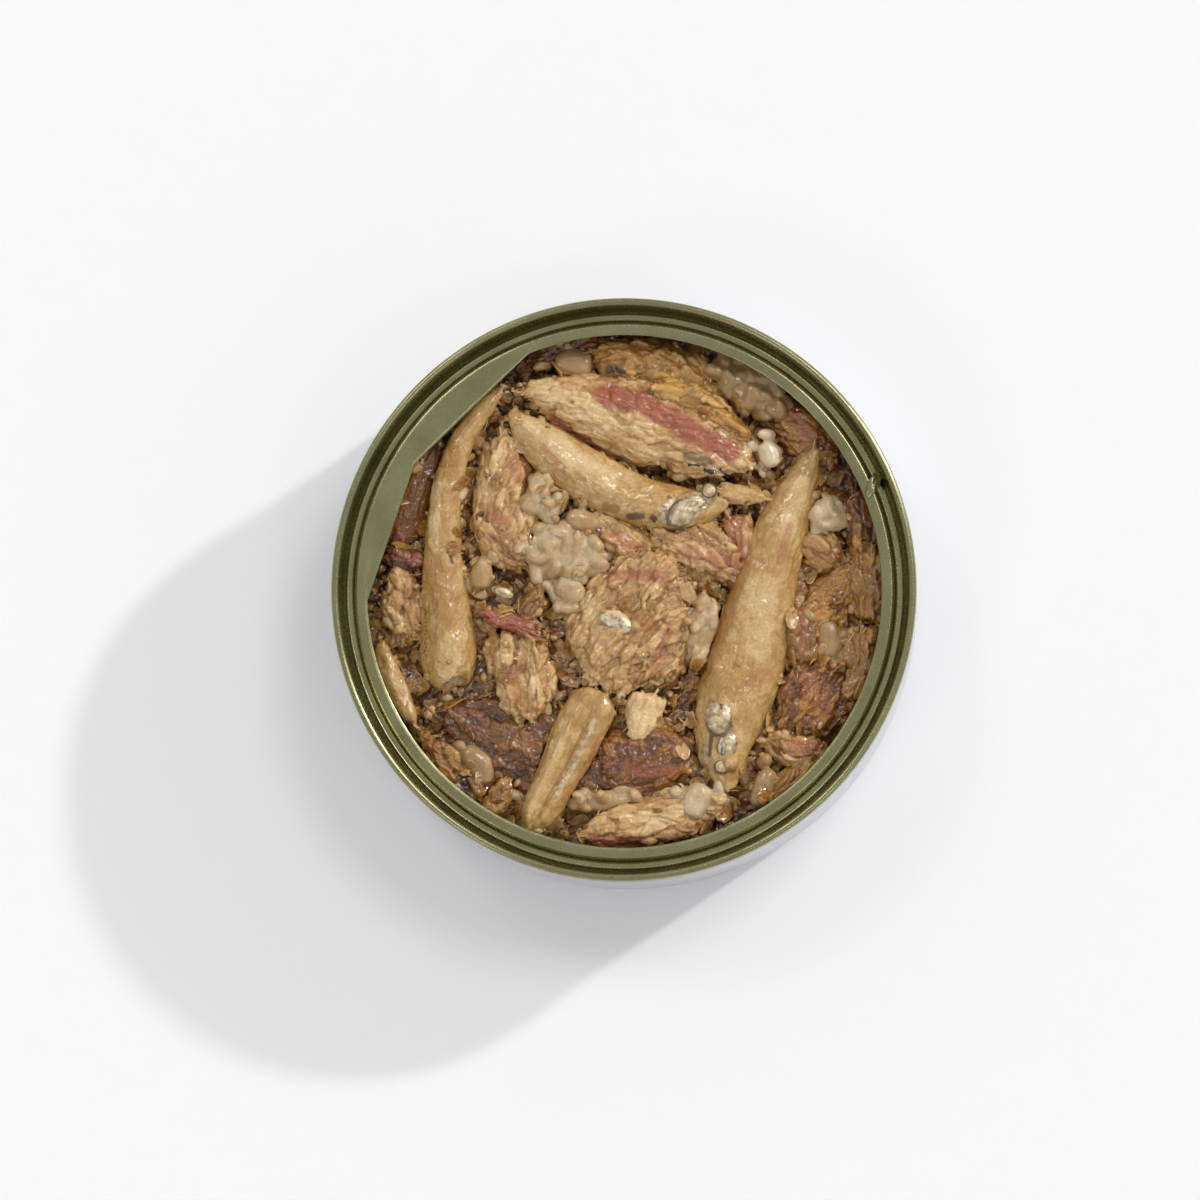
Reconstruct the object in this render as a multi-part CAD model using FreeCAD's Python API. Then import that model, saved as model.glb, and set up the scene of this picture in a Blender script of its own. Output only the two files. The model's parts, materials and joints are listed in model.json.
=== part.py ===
"""Open flat tin of fish cat food, in millimetres, standing on its base, +Z up.

The tin is a shallow drawn can.  Its ring-pull end has been torn out, so what is left of the
end is the ring that the double seam holds: seaming panel, chuck wall, countersink, the lip
outside the score line, a torn crescent of panel and the flap that the tab's nose pushed up.
The food is small fish, tuna pieces and clumps of grain, bedded in a loose filling.
"""
import FreeCAD
import Part
import math
import os
import random

# ---------------------------------------------------------------- tin, driving dimensions
SEAM_DIAMETER = 87.3        # over the double seam
CAN_HEIGHT = 26.0           # standing ring to top of the seam
WALL_DIAMETER = 86.4        # outside of the drawn wall
BODY_SHEET = 0.18           # thickness of the can's sheet
END_SHEET = 0.20            # thickness of the end's sheet
SEAM_LENGTH = 2.8           # height of the double seam
SEAM_PLAY = 0.04            # compound-filled play between two layers of the seam
BODY_HOOK = 2.0             # length of the can's hook in the seam
COVER_HOOK = 1.9            # length of the end's hook in the seam
SEAM_TOP_ROUND = 0.40       # mean radius of the two bends over the seam

COUNTERSINK_DEPTH = 4.6     # seam top to bottom of the countersink
COUNTERSINK_ROUND = 0.55    # mean radius of the countersink
CHUCK_WALL_LEAN = 1.05      # how far the chuck wall comes in below the seam
PANEL_RISE = 1.3            # lip above the bottom of the countersink
PANEL_WALL_LEAN = 0.35      # how far the panel wall leans in over its rise
OPENING_RADIUS = 38.4       # the score line, where the panel tore off
LIP_ROUND = 0.40            # mean radius between panel wall and lip

TEAR_FEET = ((161.0, 35.9), (134.0, 35.6))  # each torn chord: bearing and distance of its foot
FLAP_BEARING = 22.5         # where the tab broke the score
FLAP_LIFT = 0.45            # crest of the flap above the lip
FLAP_WIDTHS = (0.5, 1.5, 2.1, 1.5)  # from its tip at the lip to the chuck wall

STANDING_RING_RADIUS = 39.2  # middle of the flat ring that the tin stands on
STANDING_RING_WIDTH = 1.6
BASE_CORNER_ROUND = 3.0     # mean radius between standing ring and wall
PANEL_RECESS = 1.1          # base panel above the standing ring
RECESS_LEAN = 0.8           # radial run of the step between ring and base panel
BASE_BEAD_RADII = (13.0, 25.0)
BASE_BEAD_HEIGHT = 0.35
BASE_BEAD_HALF_WIDTH = 1.6
NECK_HEIGHT = 1.0           # over which the wall comes in under the seam

# ---------------------------------------------------------------- food, driving dimensions
FOOD_CLEARANCE = 0.08       # food to sheet metal
FOOD_BELOW_COUNTERSINK = 0.2
FILL_DROP = 5.2             # mean level of the filling below the highest food
FILL_RELIEF = 1.5           # how uneven the filling is, up and down
FILL_GRID = 23              # heights along each side of the filling's surface
FILL_GRID_OVERHANG = 1.1    # how far that surface is laid out past the wall
FILL_SEED = 5
FILL_EDGE_ROUND = 1.0
LAYOUT_RADIUS = 38.4        # opening that the food's places below were drawn for

SECTION_POINTS = 16         # points round one section of a piece of food
SECTIONS_PER_PIECE = 11
END_ROUNDING = 8            # the higher, the blunter the ends of a piece
END_WIDTH = 0.30            # what is left of a section at the very end
EYE_RADIUS = 1.25           # a fish's eye
EYE_PROUD = 0.30            # how far it stands out of the head
GILL_PROUD = 0.35           # how far a gill cover stands out of the head
AXIS = FreeCAD.Vector(0, 0, 1)
ORIGIN = FreeCAD.Vector(0, 0, 0)
TINY = 1e-6

# ---------------------------------------------------------------- worked out from the above
SEAM_RADIUS = SEAM_DIAMETER / 2
LAYER_PITCH = (BODY_SHEET + END_SHEET) / 2 + SEAM_PLAY
SEAMING_WALL_R = SEAM_RADIUS - END_SHEET / 2
BODY_HOOK_R = SEAMING_WALL_R - LAYER_PITCH
COVER_HOOK_R = BODY_HOOK_R - LAYER_PITCH
BODY_NECK_R = COVER_HOOK_R - LAYER_PITCH
CHUCK_WALL_R = BODY_NECK_R - LAYER_PITCH
WALL_MID_R = WALL_DIAMETER / 2 - BODY_SHEET / 2
ROOM_RADIUS = WALL_DIAMETER / 2 - BODY_SHEET - FOOD_CLEARANCE
ROOM_FLOOR = PANEL_RECESS + BODY_SHEET + BASE_BEAD_HEIGHT + FOOD_CLEARANCE
FOOD_TOP = CAN_HEIGHT - COUNTERSINK_DEPTH - FOOD_BELOW_COUNTERSINK
FILL_LEVEL = FOOD_TOP - FILL_DROP
SPREAD = OPENING_RADIUS / LAYOUT_RADIUS


# ---------------------------------------------------------------- sheet metal
def at(radius, height):
    """A point of a section, in the XZ plane."""
    return FreeCAD.Vector(radius, 0, height)


def bend_edges(points, bends):
    """Straight runs joined by tangent arcs; bends holds one radius for each inner point."""
    edges = []
    start = points[0]
    for before, corner, after, bend in zip(points, points[1:], points[2:], bends):
        back = (before - corner).normalize()
        ahead = (after - corner).normalize()
        half = back.getAngle(ahead) / 2
        reach = bend / math.tan(half)
        inward = (back + ahead).normalize()
        first = corner + back * reach
        last = corner + ahead * reach
        middle = corner + inward * (bend / math.sin(half) - bend)
        if (first - start).Length > TINY:
            edges.append(Part.LineSegment(start, first).toShape())
        edges.append(Part.Arc(first, middle, last).toShape())
        start = last
    if (points[-1] - start).Length > TINY:
        edges.append(Part.LineSegment(start, points[-1]).toShape())
    return edges


def side_of(point, toward):
    """Unit vector in the XZ plane, to the left of the run from point to toward."""
    run = (toward - point).normalize()
    return FreeCAD.Vector(-run.z, 0, run.x)


def shifted(points, bends, distance):
    """The same path moved to its left by distance, with the bends that then fit."""
    lefts = [side_of(a, b) for a, b in zip(points, points[1:])]
    moved = [points[0] + lefts[0] * distance]
    fitted = []
    for index, bend in enumerate(bends):
        left, following = lefts[index], lefts[index + 1]
        mitre = (left + following) * (distance / (1 + left.dot(following)))
        moved.append(points[index + 1] + mitre)
        turn = left.x * following.z - left.z * following.x
        fitted.append(bend - distance * math.copysign(1, turn))
    moved.append(points[-1] + lefts[-1] * distance)
    return moved, fitted


def turned_sheet(points, bends, thickness):
    """Sheet of one thickness along a bent path, turned round the tin's axis."""
    left, left_bends = shifted(points, bends, thickness / 2)
    right, right_bends = shifted(points, bends, -thickness / 2)
    edges = bend_edges(left, left_bends) + bend_edges(right, right_bends)
    edges.append(Part.LineSegment(left[-1], right[-1]).toShape())
    edges.append(Part.LineSegment(left[0], right[0]).toShape())
    outline = Part.Wire(Part.__sortEdges__(edges))
    return Part.Face(outline).revolve(ORIGIN, AXIS, 360)


def base_bead_points(level):
    """Ring beads pressed up into the base panel, as points and their bends."""
    points, bends = [], []
    for radius in BASE_BEAD_RADII:
        points += [at(radius - BASE_BEAD_HALF_WIDTH, level), at(radius, level + BASE_BEAD_HEIGHT),
                   at(radius + BASE_BEAD_HALF_WIDTH, level)]
        bends += [1.0, 1.0, 1.0]
    return points, bends


def make_can_body():
    """Drawn can: beaded base, standing ring, round corner, wall, neck and hook."""
    panel = PANEL_RECESS + BODY_SHEET / 2
    ground = BODY_SHEET / 2
    ring_in = STANDING_RING_RADIUS - STANDING_RING_WIDTH / 2
    seam_bottom = CAN_HEIGHT - SEAM_LENGTH
    hook_top = CAN_HEIGHT - END_SHEET - SEAM_PLAY - BODY_SHEET / 2
    beads, bead_bends = base_bead_points(panel)
    points = [at(0, panel)] + beads + [
        at(ring_in - RECESS_LEAN, panel), at(ring_in, ground), at(WALL_MID_R, ground),
        at(WALL_MID_R, seam_bottom - NECK_HEIGHT), at(BODY_NECK_R, seam_bottom),
        at(BODY_NECK_R, hook_top), at(BODY_HOOK_R, hook_top), at(BODY_HOOK_R, hook_top - BODY_HOOK)]
    bends = bead_bends + [0.5, 0.5, BASE_CORNER_ROUND, 1.0, 1.0, LAYER_PITCH, LAYER_PITCH]
    return turned_sheet(points, bends, BODY_SHEET)


def end_path():
    """Section of the end, from the panel out over the seam to the tip of its hook."""
    seam_top = CAN_HEIGHT - END_SHEET / 2
    seam_foot = CAN_HEIGHT - SEAM_LENGTH + END_SHEET / 2
    sink = CAN_HEIGHT - COUNTERSINK_DEPTH + END_SHEET / 2
    sink_outer = CHUCK_WALL_R - CHUCK_WALL_LEAN
    sink_inner = sink_outer - 2 * COUNTERSINK_ROUND
    panel_inside = min(foot for _, foot in TEAR_FEET) - 2.0
    lip = sink + PANEL_RISE
    points = [at(panel_inside, lip), at(sink_inner - PANEL_WALL_LEAN, lip), at(sink_inner, sink),
              at(sink_outer, sink), at(CHUCK_WALL_R, seam_foot), at(CHUCK_WALL_R, seam_top),
              at(SEAMING_WALL_R, seam_top), at(SEAMING_WALL_R, seam_foot),
              at(COVER_HOOK_R, seam_foot), at(COVER_HOOK_R, seam_foot + COVER_HOOK)]
    bends = [LIP_ROUND, 0.50, 0.50, 1.0, SEAM_TOP_ROUND, SEAM_TOP_ROUND, LAYER_PITCH, LAYER_PITCH]
    return points, bends, lip


def torn_opening():
    """The hole in the panel: the score's circle, cut short by two torn chords."""
    feet = [(math.radians(bearing), foot) for bearing, foot in TEAR_FEET]
    (first_turn, first_foot), (last_turn, last_foot) = feet
    start = first_turn + math.acos(first_foot / OPENING_RADIUS)
    end = last_turn - math.acos(last_foot / OPENING_RADIUS)
    span = math.sin(first_turn - last_turn)
    corner = FreeCAD.Vector(
        (last_foot * math.sin(first_turn) - first_foot * math.sin(last_turn)) / span,
        (first_foot * math.cos(last_turn) - last_foot * math.cos(first_turn)) / span, 0)
    middle = (start + end) / 2 + math.pi
    rim = [FreeCAD.Vector(math.cos(turn), math.sin(turn), 0) * OPENING_RADIUS
           for turn in (start, middle, end)]
    edges = [Part.Arc(*rim).toShape(), Part.LineSegment(rim[2], corner).toShape(),
             Part.LineSegment(corner, rim[0]).toShape()]
    return Part.Face(Part.Wire(edges)).extrude(AXIS * CAN_HEIGHT)


def make_flap(lip):
    """Crumpled flap of sheet, from the lip's edge over the countersink to the chuck wall."""
    inner, outer = OPENING_RADIUS + 0.25, CHUCK_WALL_R - CHUCK_WALL_LEAN / 2
    lifts = (0.0, FLAP_LIFT, FLAP_LIFT * 0.6, -PANEL_RISE / 2)
    wires = []
    for step, (width, lift) in enumerate(zip(FLAP_WIDTHS, lifts)):
        radius = inner + (outer - inner) * step / (len(lifts) - 1)
        low, high = lip + lift - END_SHEET / 2, lip + lift + END_SHEET / 2
        wires.append(Part.makePolygon([
            FreeCAD.Vector(radius, -width / 2, low), FreeCAD.Vector(radius, width / 2, low),
            FreeCAD.Vector(radius, width / 2, high), FreeCAD.Vector(radius, -width / 2, high),
            FreeCAD.Vector(radius, -width / 2, low)]))
    flap = Part.makeLoft(wires, True, True)
    flap.rotate(ORIGIN, AXIS, FLAP_BEARING)
    return flap


def make_end_ring():
    """What the seam still holds of the end, with its torn crescent and its flap."""
    points, bends, lip = end_path()
    whole = turned_sheet(points, bends, END_SHEET)
    return whole.cut(torn_opening()).fuse(make_flap(lip)).removeSplitter()


# ---------------------------------------------------------------- food
def between(values, share):
    """Value at a share of the way along a list, eased from each entry to the next."""
    place = share * (len(values) - 1)
    index = min(int(place), len(values) - 2)
    ease = (1 - math.cos(math.pi * (place - index))) / 2
    return values[index] * (1 - ease) + values[index + 1] * ease


def smooth_run(spine):
    """A smooth curve through the few points of a piece's spine."""
    run = Part.BSplineCurve()
    run.interpolate(spine)
    return run


def unevenness(seed):
    """A function of angle and share along a piece, about -1 to 1, always the same for a seed."""
    source = random.Random(seed)
    waves = [(count, source.uniform(0, math.tau), source.uniform(1.5, 7.0), source.uniform(0.5, 1.0))
             for count in (2, 3, 4, 5)]

    def value(turn, share):
        return sum(size * math.sin(count * turn + phase + pace * share)
                   for count, phase, pace, size in waves) / 2
    return value


def crest_at(drop):
    """Height of a crest that lies drop below the highest food."""
    return FOOD_TOP - drop


def piece(spine, widths, heights, lump=0.10, seed=1, drop=0.0, groove=0.0):
    """A piece of food, lofted through uneven sections along its spine.

    spine holds places (x, y) seen from above; heights run up and down, widths across.  The
    piece's crest lies drop below the highest food; groove is the depth of a furrow along the
    crest, as a share of the half height.
    """
    crest = crest_at(drop)
    points = []
    for index, (x, y) in enumerate(spine):
        share = index / (len(spine) - 1)
        points.append(FreeCAD.Vector(x * SPREAD, y * SPREAD, crest - between(heights, share) / 2))
    run = smooth_run(points)
    uneven = unevenness(seed)
    wires = []
    for step in range(SECTIONS_PER_PIECE):
        share = (1 - math.cos(math.pi * step / (SECTIONS_PER_PIECE - 1))) / 2
        closing = max(END_WIDTH, math.sqrt(1 - abs(2 * share - 1) ** END_ROUNDING))
        parameter = run.FirstParameter + (run.LastParameter - run.FirstParameter) * share
        ahead = FreeCAD.Vector(run.tangent(parameter)[0])
        across = FreeCAD.Vector(ahead.y, -ahead.x, 0).normalize()
        centre = run.value(parameter)
        half_width = closing * between(widths, share) / 2
        half_height = closing * between(heights, share) / 2
        ring = []
        for corner in range(SECTION_POINTS):
            turn = math.tau * corner / SECTION_POINTS
            reach = 1 + lump * uneven(turn, share)
            if corner == SECTION_POINTS // 4:
                reach -= groove
            ring.append(centre + across * (half_width * reach * math.cos(turn))
                        + AXIS * (half_height * min(reach, 1.0) * math.sin(turn)))
        outline = Part.BSplineCurve()
        outline.interpolate(Points=ring, PeriodicFlag=True)
        wires.append(Part.Wire(outline.toShape()))
    return Part.makeLoft(wires, True, False)


def bead(place, radii, bearing, drop):
    """An ellipsoid: its half length, half width and half height, and the bearing of its length."""
    stretch = FreeCAD.Matrix()
    stretch.scale(*radii)
    shape = Part.makeSphere(1.0).transformGeometry(stretch)
    shape.rotate(ORIGIN, AXIS, bearing)
    shape.translate(FreeCAD.Vector(place[0] * SPREAD, place[1] * SPREAD, crest_at(drop) - radii[2]))
    return shape


def with_head(fish, gill, eye, bearing, drop):
    """A fish with its gill cover and its eye, which stand a little proud of the head."""
    gill_cover = bead(gill, (3.3, 2.5, 1.6), bearing, drop - GILL_PROUD)
    eyeball = bead(eye, (EYE_RADIUS, EYE_RADIUS, EYE_RADIUS), bearing, drop - EYE_PROUD)
    return fish.fuse([gill_cover, eyeball])


def with_hollow(fish, mouth, radii, bearing, drop):
    """A fish whose gutted end is open."""
    return fish.cut(bead(mouth, radii, bearing, drop))


def make_pieces():
    """Every piece that lies in the filling, the uppermost first."""
    pieces = {
        "fish_right": piece(
            [(28.6, 21.5), (24.5, 12.5), (21.0, 2.5), (18.2, -9.5), (15.0, -20.5), (15.8, -29.5)],
            [3.6, 7.6, 9.2, 12.2, 10.6, 6.0], [2.6, 5.6, 7.2, 8.6, 8.0, 4.4], 0.05, 11, 0.45),
        "fish_left": piece(
            [(-18.4, 30.4), (-24.6, 22.6), (-27.0, 13.5), (-27.2, 4.8), (-26.7, -4.5), (-26.4, -14.6)],
            [3.0, 3.8, 4.8, 6.2, 8.0, 9.0], [2.2, 3.2, 4.2, 5.2, 6.4, 6.2], 0.07, 12, 0.3),
        "fish_split": piece(
            [(-3.6, -14.6), (-7.6, -22.0), (-11.0, -29.0), (-14.6, -35.6)],
            [7.4, 7.6, 6.6, 4.8], [4.4, 5.0, 4.6, 3.4], 0.06, 13, 0.2, 0.45),
        "tuna_centre": piece(
            [(9.6, 2.0), (4.4, -1.2), (-0.6, -8.0), (-4.2, -13.6)],
            [9.0, 17.0, 18.5, 10.0], [3.6, 6.6, 6.8, 4.6], 0.13, 14, 0.3),
        "fish_middle": piece(
            [(-17.4, 27.4), (-10.6, 21.2), (-2.8, 16.2), (4.8, 13.2), (10.6, 12.8), (15.4, 13.6)],
            [3.6, 7.2, 8.0, 7.4, 6.6, 3.6], [3.0, 5.4, 6.2, 6.4, 5.8, 2.6], 0.06, 15, 0.5),
        "tuna_top": piece(
            [(-15.2, 31.0), (-7.4, 28.6), (1.6, 26.2), (10.8, 23.4), (18.4, 18.4)],
            [4.0, 9.4, 14.0, 12.4, 6.6], [3.0, 6.2, 7.4, 6.6, 4.0], 0.11, 16, 0.4),
        "tuna_left": piece(
            [(-17.6, 23.6), (-18.2, 17.4), (-17.6, 11.4), (-15.8, 6.0)],
            [4.2, 9.0, 9.6, 5.6], [3.4, 6.4, 6.6, 4.6], 0.09, 17, 1.0),
        "tuna_folded": piece(
            [(-16.4, -5.0), (-15.8, -9.6), (-15.0, -14.4), (-14.6, -18.8)],
            [7.0, 9.6, 9.0, 5.4], [3.8, 6.2, 6.2, 4.4], 0.10, 18, 0.9, 0.35),
        "grain_clump_left": piece(
            [(-14.4, 17.0), (-12.6, 14.4), (-10.6, 11.6)],
            [4.6, 7.8, 5.0], [3.2, 4.6, 3.4], 0.14, 19, 0.9),
        "grain_clump_middle": piece(
            [(-17.0, 7.4), (-11.8, 6.8), (-6.8, 5.4), (-3.0, 3.0)],
            [4.2, 9.4, 9.6, 5.4], [3.0, 4.8, 5.0, 3.4], 0.14, 20, 1.2),
        "grain_clump_side": piece(
            [(10.8, 0.6), (11.6, -4.6), (9.6, -10.2)], [3.4, 5.4, 3.6], [3.0, 4.6, 3.4], 0.14, 21, 1.1),
        "grain_clump_right": piece(
            [(28.0, 13.6), (29.8, 12.0), (31.2, 9.6)], [3.0, 5.8, 3.8], [2.8, 4.4, 3.0], 0.12, 22, 0.8),
        "flake_white": piece(
            [(3.4, -15.0), (2.6, -18.0), (1.4, -22.0)], [6.0, 5.4, 2.6], [2.8, 3.0, 1.8], 0.08, 23, 1.8),
        "tuna_skin_dark": piece(
            [(-28.6, -17.4), (-20.6, -20.6), (-11.0, -24.4), (-1.0, -25.4), (8.4, -24.0)],
            [4.4, 10.4, 12.6, 11.0, 7.4], [2.4, 4.0, 4.6, 4.6, 3.8], 0.10, 24, 2.6),
        "fillet_low": piece(
            [(-6.0, -36.2), (0.6, -34.8), (7.8, -33.0), (14.2, -30.6)],
            [4.2, 7.2, 7.8, 4.0], [2.6, 4.6, 4.8, 2.6], 0.09, 25, 1.4),
        "grain_clump_low": piece(
            [(-8.6, -31.4), (-3.6, -30.6), (2.0, -30.8)], [3.0, 4.6, 3.4], [2.6, 3.6, 2.8], 0.14, 26, 2.4),
        "tuna_wall_upper": piece(
            [(35.0, 8.4), (37.0, 1.8), (37.2, -4.4)], [4.6, 8.6, 6.4], [4.0, 6.2, 4.6], 0.13, 27, 1.6),
        "tuna_wall_lower": piece(
            [(35.6, -5.0), (35.4, -10.0), (33.2, -15.4)], [5.8, 8.8, 4.6], [4.0, 5.8, 3.6], 0.13, 28, 1.8),
        "fillet_right": piece(
            [(34.2, 4.4), (30.0, -1.4), (27.2, -7.2)], [3.6, 7.4, 6.2], [3.0, 4.8, 3.8], 0.10, 29, 2.4),
        "tuna_brown_right": piece(
            [(31.6, -11.4), (28.6, -15.6), (26.0, -20.4)], [7.0, 11.4, 7.8], [4.0, 5.6, 4.2], 0.12, 30, 1.9),
        "strip_yellow": piece(
            [(28.0, -25.0), (25.2, -28.4), (21.6, -31.8)], [4.2, 5.4, 3.6], [2.8, 3.8, 2.8], 0.08, 31, 1.8),
        "tuna_spotted": piece(
            [(-30.0, -22.6), (-26.2, -27.2), (-21.8, -31.2)], [5.2, 7.2, 4.4], [3.4, 4.4, 3.2], 0.12, 32, 2.4),
        "bit_orange": piece(
            [(-17.6, -28.4), (-19.2, -30.6), (-21.0, -32.6)], [2.6, 3.4, 2.0], [2.0, 2.6, 1.8], 0.12, 33, 2.6),
        "sheet_brown": piece(
            [(-29.2, 24.0), (-32.0, 16.0), (-34.6, 7.2)], [5.4, 8.4, 5.2], [3.4, 4.8, 3.4], 0.05, 34, 3.0),
        "flakes_left": piece(
            [(-34.0, 3.6), (-33.0, -1.4), (-31.2, -6.4)], [4.0, 6.8, 4.6], [3.0, 4.4, 3.2], 0.16, 35, 2.0),
        "sliver_pale": piece(
            [(-36.8, -7.2), (-35.0, -13.0), (-31.6, -19.2)], [2.4, 3.8, 2.2], [2.0, 2.8, 1.8], 0.08, 36, 2.6),
        "tuna_dark_top": piece(
            [(-14.2, 36.0), (-8.6, 37.4), (-2.2, 37.8)], [3.8, 5.0, 3.4], [3.0, 4.0, 3.0], 0.10, 37, 2.8),
        "flakes_top": piece(
            [(-5.0, 35.6), (2.6, 34.6), (9.8, 31.6), (13.6, 28.4)],
            [3.8, 8.2, 7.6, 4.0], [2.8, 4.8, 4.6, 3.0], 0.13, 38, 1.7),
        "grain_clump_top": piece(
            [(11.6, 34.8), (18.2, 31.2), (23.8, 26.6)], [4.4, 8.6, 4.6], [3.0, 5.0, 3.2], 0.12, 39, 1.7),
        "flake_spike": piece(
            [(13.8, 15.2), (17.4, 14.6), (21.0, 14.2)], [3.4, 2.8, 1.2], [2.4, 2.0, 1.0], 0.06, 40, 1.6),
        "tuna_under_head": piece(
            [(4.2, 9.6), (10.6, 6.8), (17.2, 3.4)], [6.4, 10.4, 6.6], [3.6, 5.6, 4.0], 0.13, 41, 1.9),
        "tuna_crumb_middle": piece(
            [(-6.0, 10.6), (-1.4, 8.0), (3.2, 5.0)], [5.0, 8.0, 6.0], [3.4, 5.0, 3.6], 0.14, 42, 2.2),
        "tuna_corner_right": piece(
            [(20.4, 28.0), (26.2, 25.0), (31.0, 20.2)], [4.6, 7.6, 4.4], [3.0, 4.6, 3.0], 0.10, 43, 2.8),
        "tuna_corner_low": piece(
            [(16.4, -34.2), (20.6, -32.4), (24.4, -31.0)], [3.4, 5.2, 3.2], [2.6, 3.8, 2.6], 0.14, 44, 2.8),
    }
    pieces["fish_right"] = with_head(pieces["fish_right"], (14.6, -18.4), (15.8, -25.6), 100, 0.45)
    pieces["fish_middle"] = with_head(pieces["fish_middle"], (9.6, 12.6), (12.6, 14.8), 40, 0.5)
    pieces["fish_left"] = with_hollow(pieces["fish_left"], (-25.6, -15.0), (4.0, 2.2, 1.9), 85, 1.2)
    return pieces


def make_room():
    """The space that food may take: inside the wall, over the base, under the countersink."""
    room = Part.makeCylinder(ROOM_RADIUS, FOOD_TOP - ROOM_FLOOR, FreeCAD.Vector(0, 0, ROOM_FLOOR))
    floor_edges = [edge for edge in room.Edges if edge.BoundBox.ZMax < ROOM_FLOOR + TINY]
    return room.makeFillet(FILL_EDGE_ROUND, floor_edges)


def uneven_ground():
    """Rows of points over the whole room at uneven heights, the surface of the filling."""
    source = random.Random(FILL_SEED)
    half = ROOM_RADIUS * FILL_GRID_OVERHANG
    pitch = 2 * half / (FILL_GRID - 1)
    return [[FreeCAD.Vector(-half + pitch * column, -half + pitch * row,
                            FILL_LEVEL + source.uniform(-FILL_RELIEF, FILL_RELIEF))
             for row in range(FILL_GRID)] for column in range(FILL_GRID)]


def flat_face(points):
    """A flat face through its corners."""
    return Part.Face(Part.makePolygon([*points, points[0]]))


def make_space_above(ground):
    """Everything above the ground, as a solid with a flat top and four flat sides."""
    faces = []
    for column, following in zip(ground, ground[1:]):
        for near_left, far_left, near_right, far_right in zip(
                column, column[1:], following, following[1:]):
            faces.append(flat_face([near_left, near_right, far_right]))
            faces.append(flat_face([near_left, far_right, far_left]))
    rims = [[column[0] for column in ground], ground[-1],
            [column[-1] for column in reversed(ground)], list(reversed(ground[0]))]
    tops = [FreeCAD.Vector(rim[0].x, rim[0].y, CAN_HEIGHT) for rim in rims]
    for index, rim in enumerate(rims):
        faces.append(flat_face([*rim, tops[(index + 1) % len(tops)], tops[index]]))
    faces.append(flat_face(tops))
    return Part.Solid(Part.Shell(faces))


def make_filling_bulk():
    """The loose filling before any piece is bedded in it."""
    return make_room().cut(make_space_above(uneven_ground()))


def largest(shape):
    """The biggest solid of a shape."""
    return max(shape.Solids, key=lambda solid: solid.Volume)


def near(one, other):
    """Whether the boxes of two shapes meet."""
    return one.BoundBox.intersect(other.BoundBox)


def bed_pieces(pieces, room):
    """Each piece kept inside the room, and notched where a piece above it lies in it."""
    bedded = {}
    for name, whole in pieces.items():
        above = [other for other in bedded.values() if near(whole, other)]
        kept = whole.common(room)
        if above:
            kept = kept.cut(above)
        bedded[name] = largest(kept)
    return bedded


def make_filling(pieces):
    """The filling with a bed for every piece."""
    return largest(make_filling_bulk().cut(list(pieces.values())))


def main():
    """Build every node and write it."""
    nodes = {"can_body": make_can_body(), "end_ring": make_end_ring()}
    pieces = bed_pieces(make_pieces(), make_room())
    nodes.update(pieces)
    nodes["filling"] = make_filling(pieces)
    os.makedirs("parts", exist_ok=True)
    for name, shape in nodes.items():
        print(f"{name}: valid {shape.isValid()}, solids {len(shape.Solids)}, {shape.Volume:.1f} mm3")
        shape.exportStep(f"parts/{name}.step")


main()
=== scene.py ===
"""Looks of an open flat tin of fish cat food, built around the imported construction.

Everything is in metres in the construction's own frame; sizes that a maker would quote are
written in millimetres and turned with MM.  Classes stand for the tin's sheet-metal pieces, the
food and the studio; finishes are small frozen dataclasses that build one node material each.
"""
import itertools
import json
import logging
import math
from dataclasses import dataclass, field, replace
from enum import Enum
from typing import Callable, Sequence

import bmesh
import bpy
import numpy as np
from bpy.types import Material, Mesh, Node, NodeSocket, NodeTree, Object
from mathutils import Matrix, Vector
from mathutils.bvhtree import BVHTree

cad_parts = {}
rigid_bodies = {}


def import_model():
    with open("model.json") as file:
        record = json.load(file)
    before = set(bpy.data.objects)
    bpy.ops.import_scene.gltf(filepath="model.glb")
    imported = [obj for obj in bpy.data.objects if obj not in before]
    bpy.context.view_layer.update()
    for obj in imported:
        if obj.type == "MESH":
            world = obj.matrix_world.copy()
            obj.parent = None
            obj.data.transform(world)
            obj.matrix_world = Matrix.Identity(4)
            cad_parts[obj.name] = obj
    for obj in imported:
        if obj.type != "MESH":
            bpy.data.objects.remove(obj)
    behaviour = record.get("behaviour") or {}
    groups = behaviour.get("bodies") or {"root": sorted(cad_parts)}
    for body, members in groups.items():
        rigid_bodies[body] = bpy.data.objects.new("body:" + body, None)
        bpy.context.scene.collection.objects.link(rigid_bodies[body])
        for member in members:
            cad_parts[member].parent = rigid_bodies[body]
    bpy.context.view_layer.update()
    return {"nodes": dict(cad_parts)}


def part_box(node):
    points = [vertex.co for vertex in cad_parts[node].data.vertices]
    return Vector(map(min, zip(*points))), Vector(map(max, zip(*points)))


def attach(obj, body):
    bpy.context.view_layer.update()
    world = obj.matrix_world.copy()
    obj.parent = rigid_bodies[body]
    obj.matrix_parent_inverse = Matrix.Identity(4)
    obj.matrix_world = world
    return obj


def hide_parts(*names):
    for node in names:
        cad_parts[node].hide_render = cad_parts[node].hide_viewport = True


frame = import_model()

MM = 0.001
BODY = "root"
LOG = logging.getLogger("open_tin")
Array = np.ndarray
Chance = np.random.Generator
Pairs = Sequence[tuple[float, float]]
Shape = tuple[Array, list]  # points and faces


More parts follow.
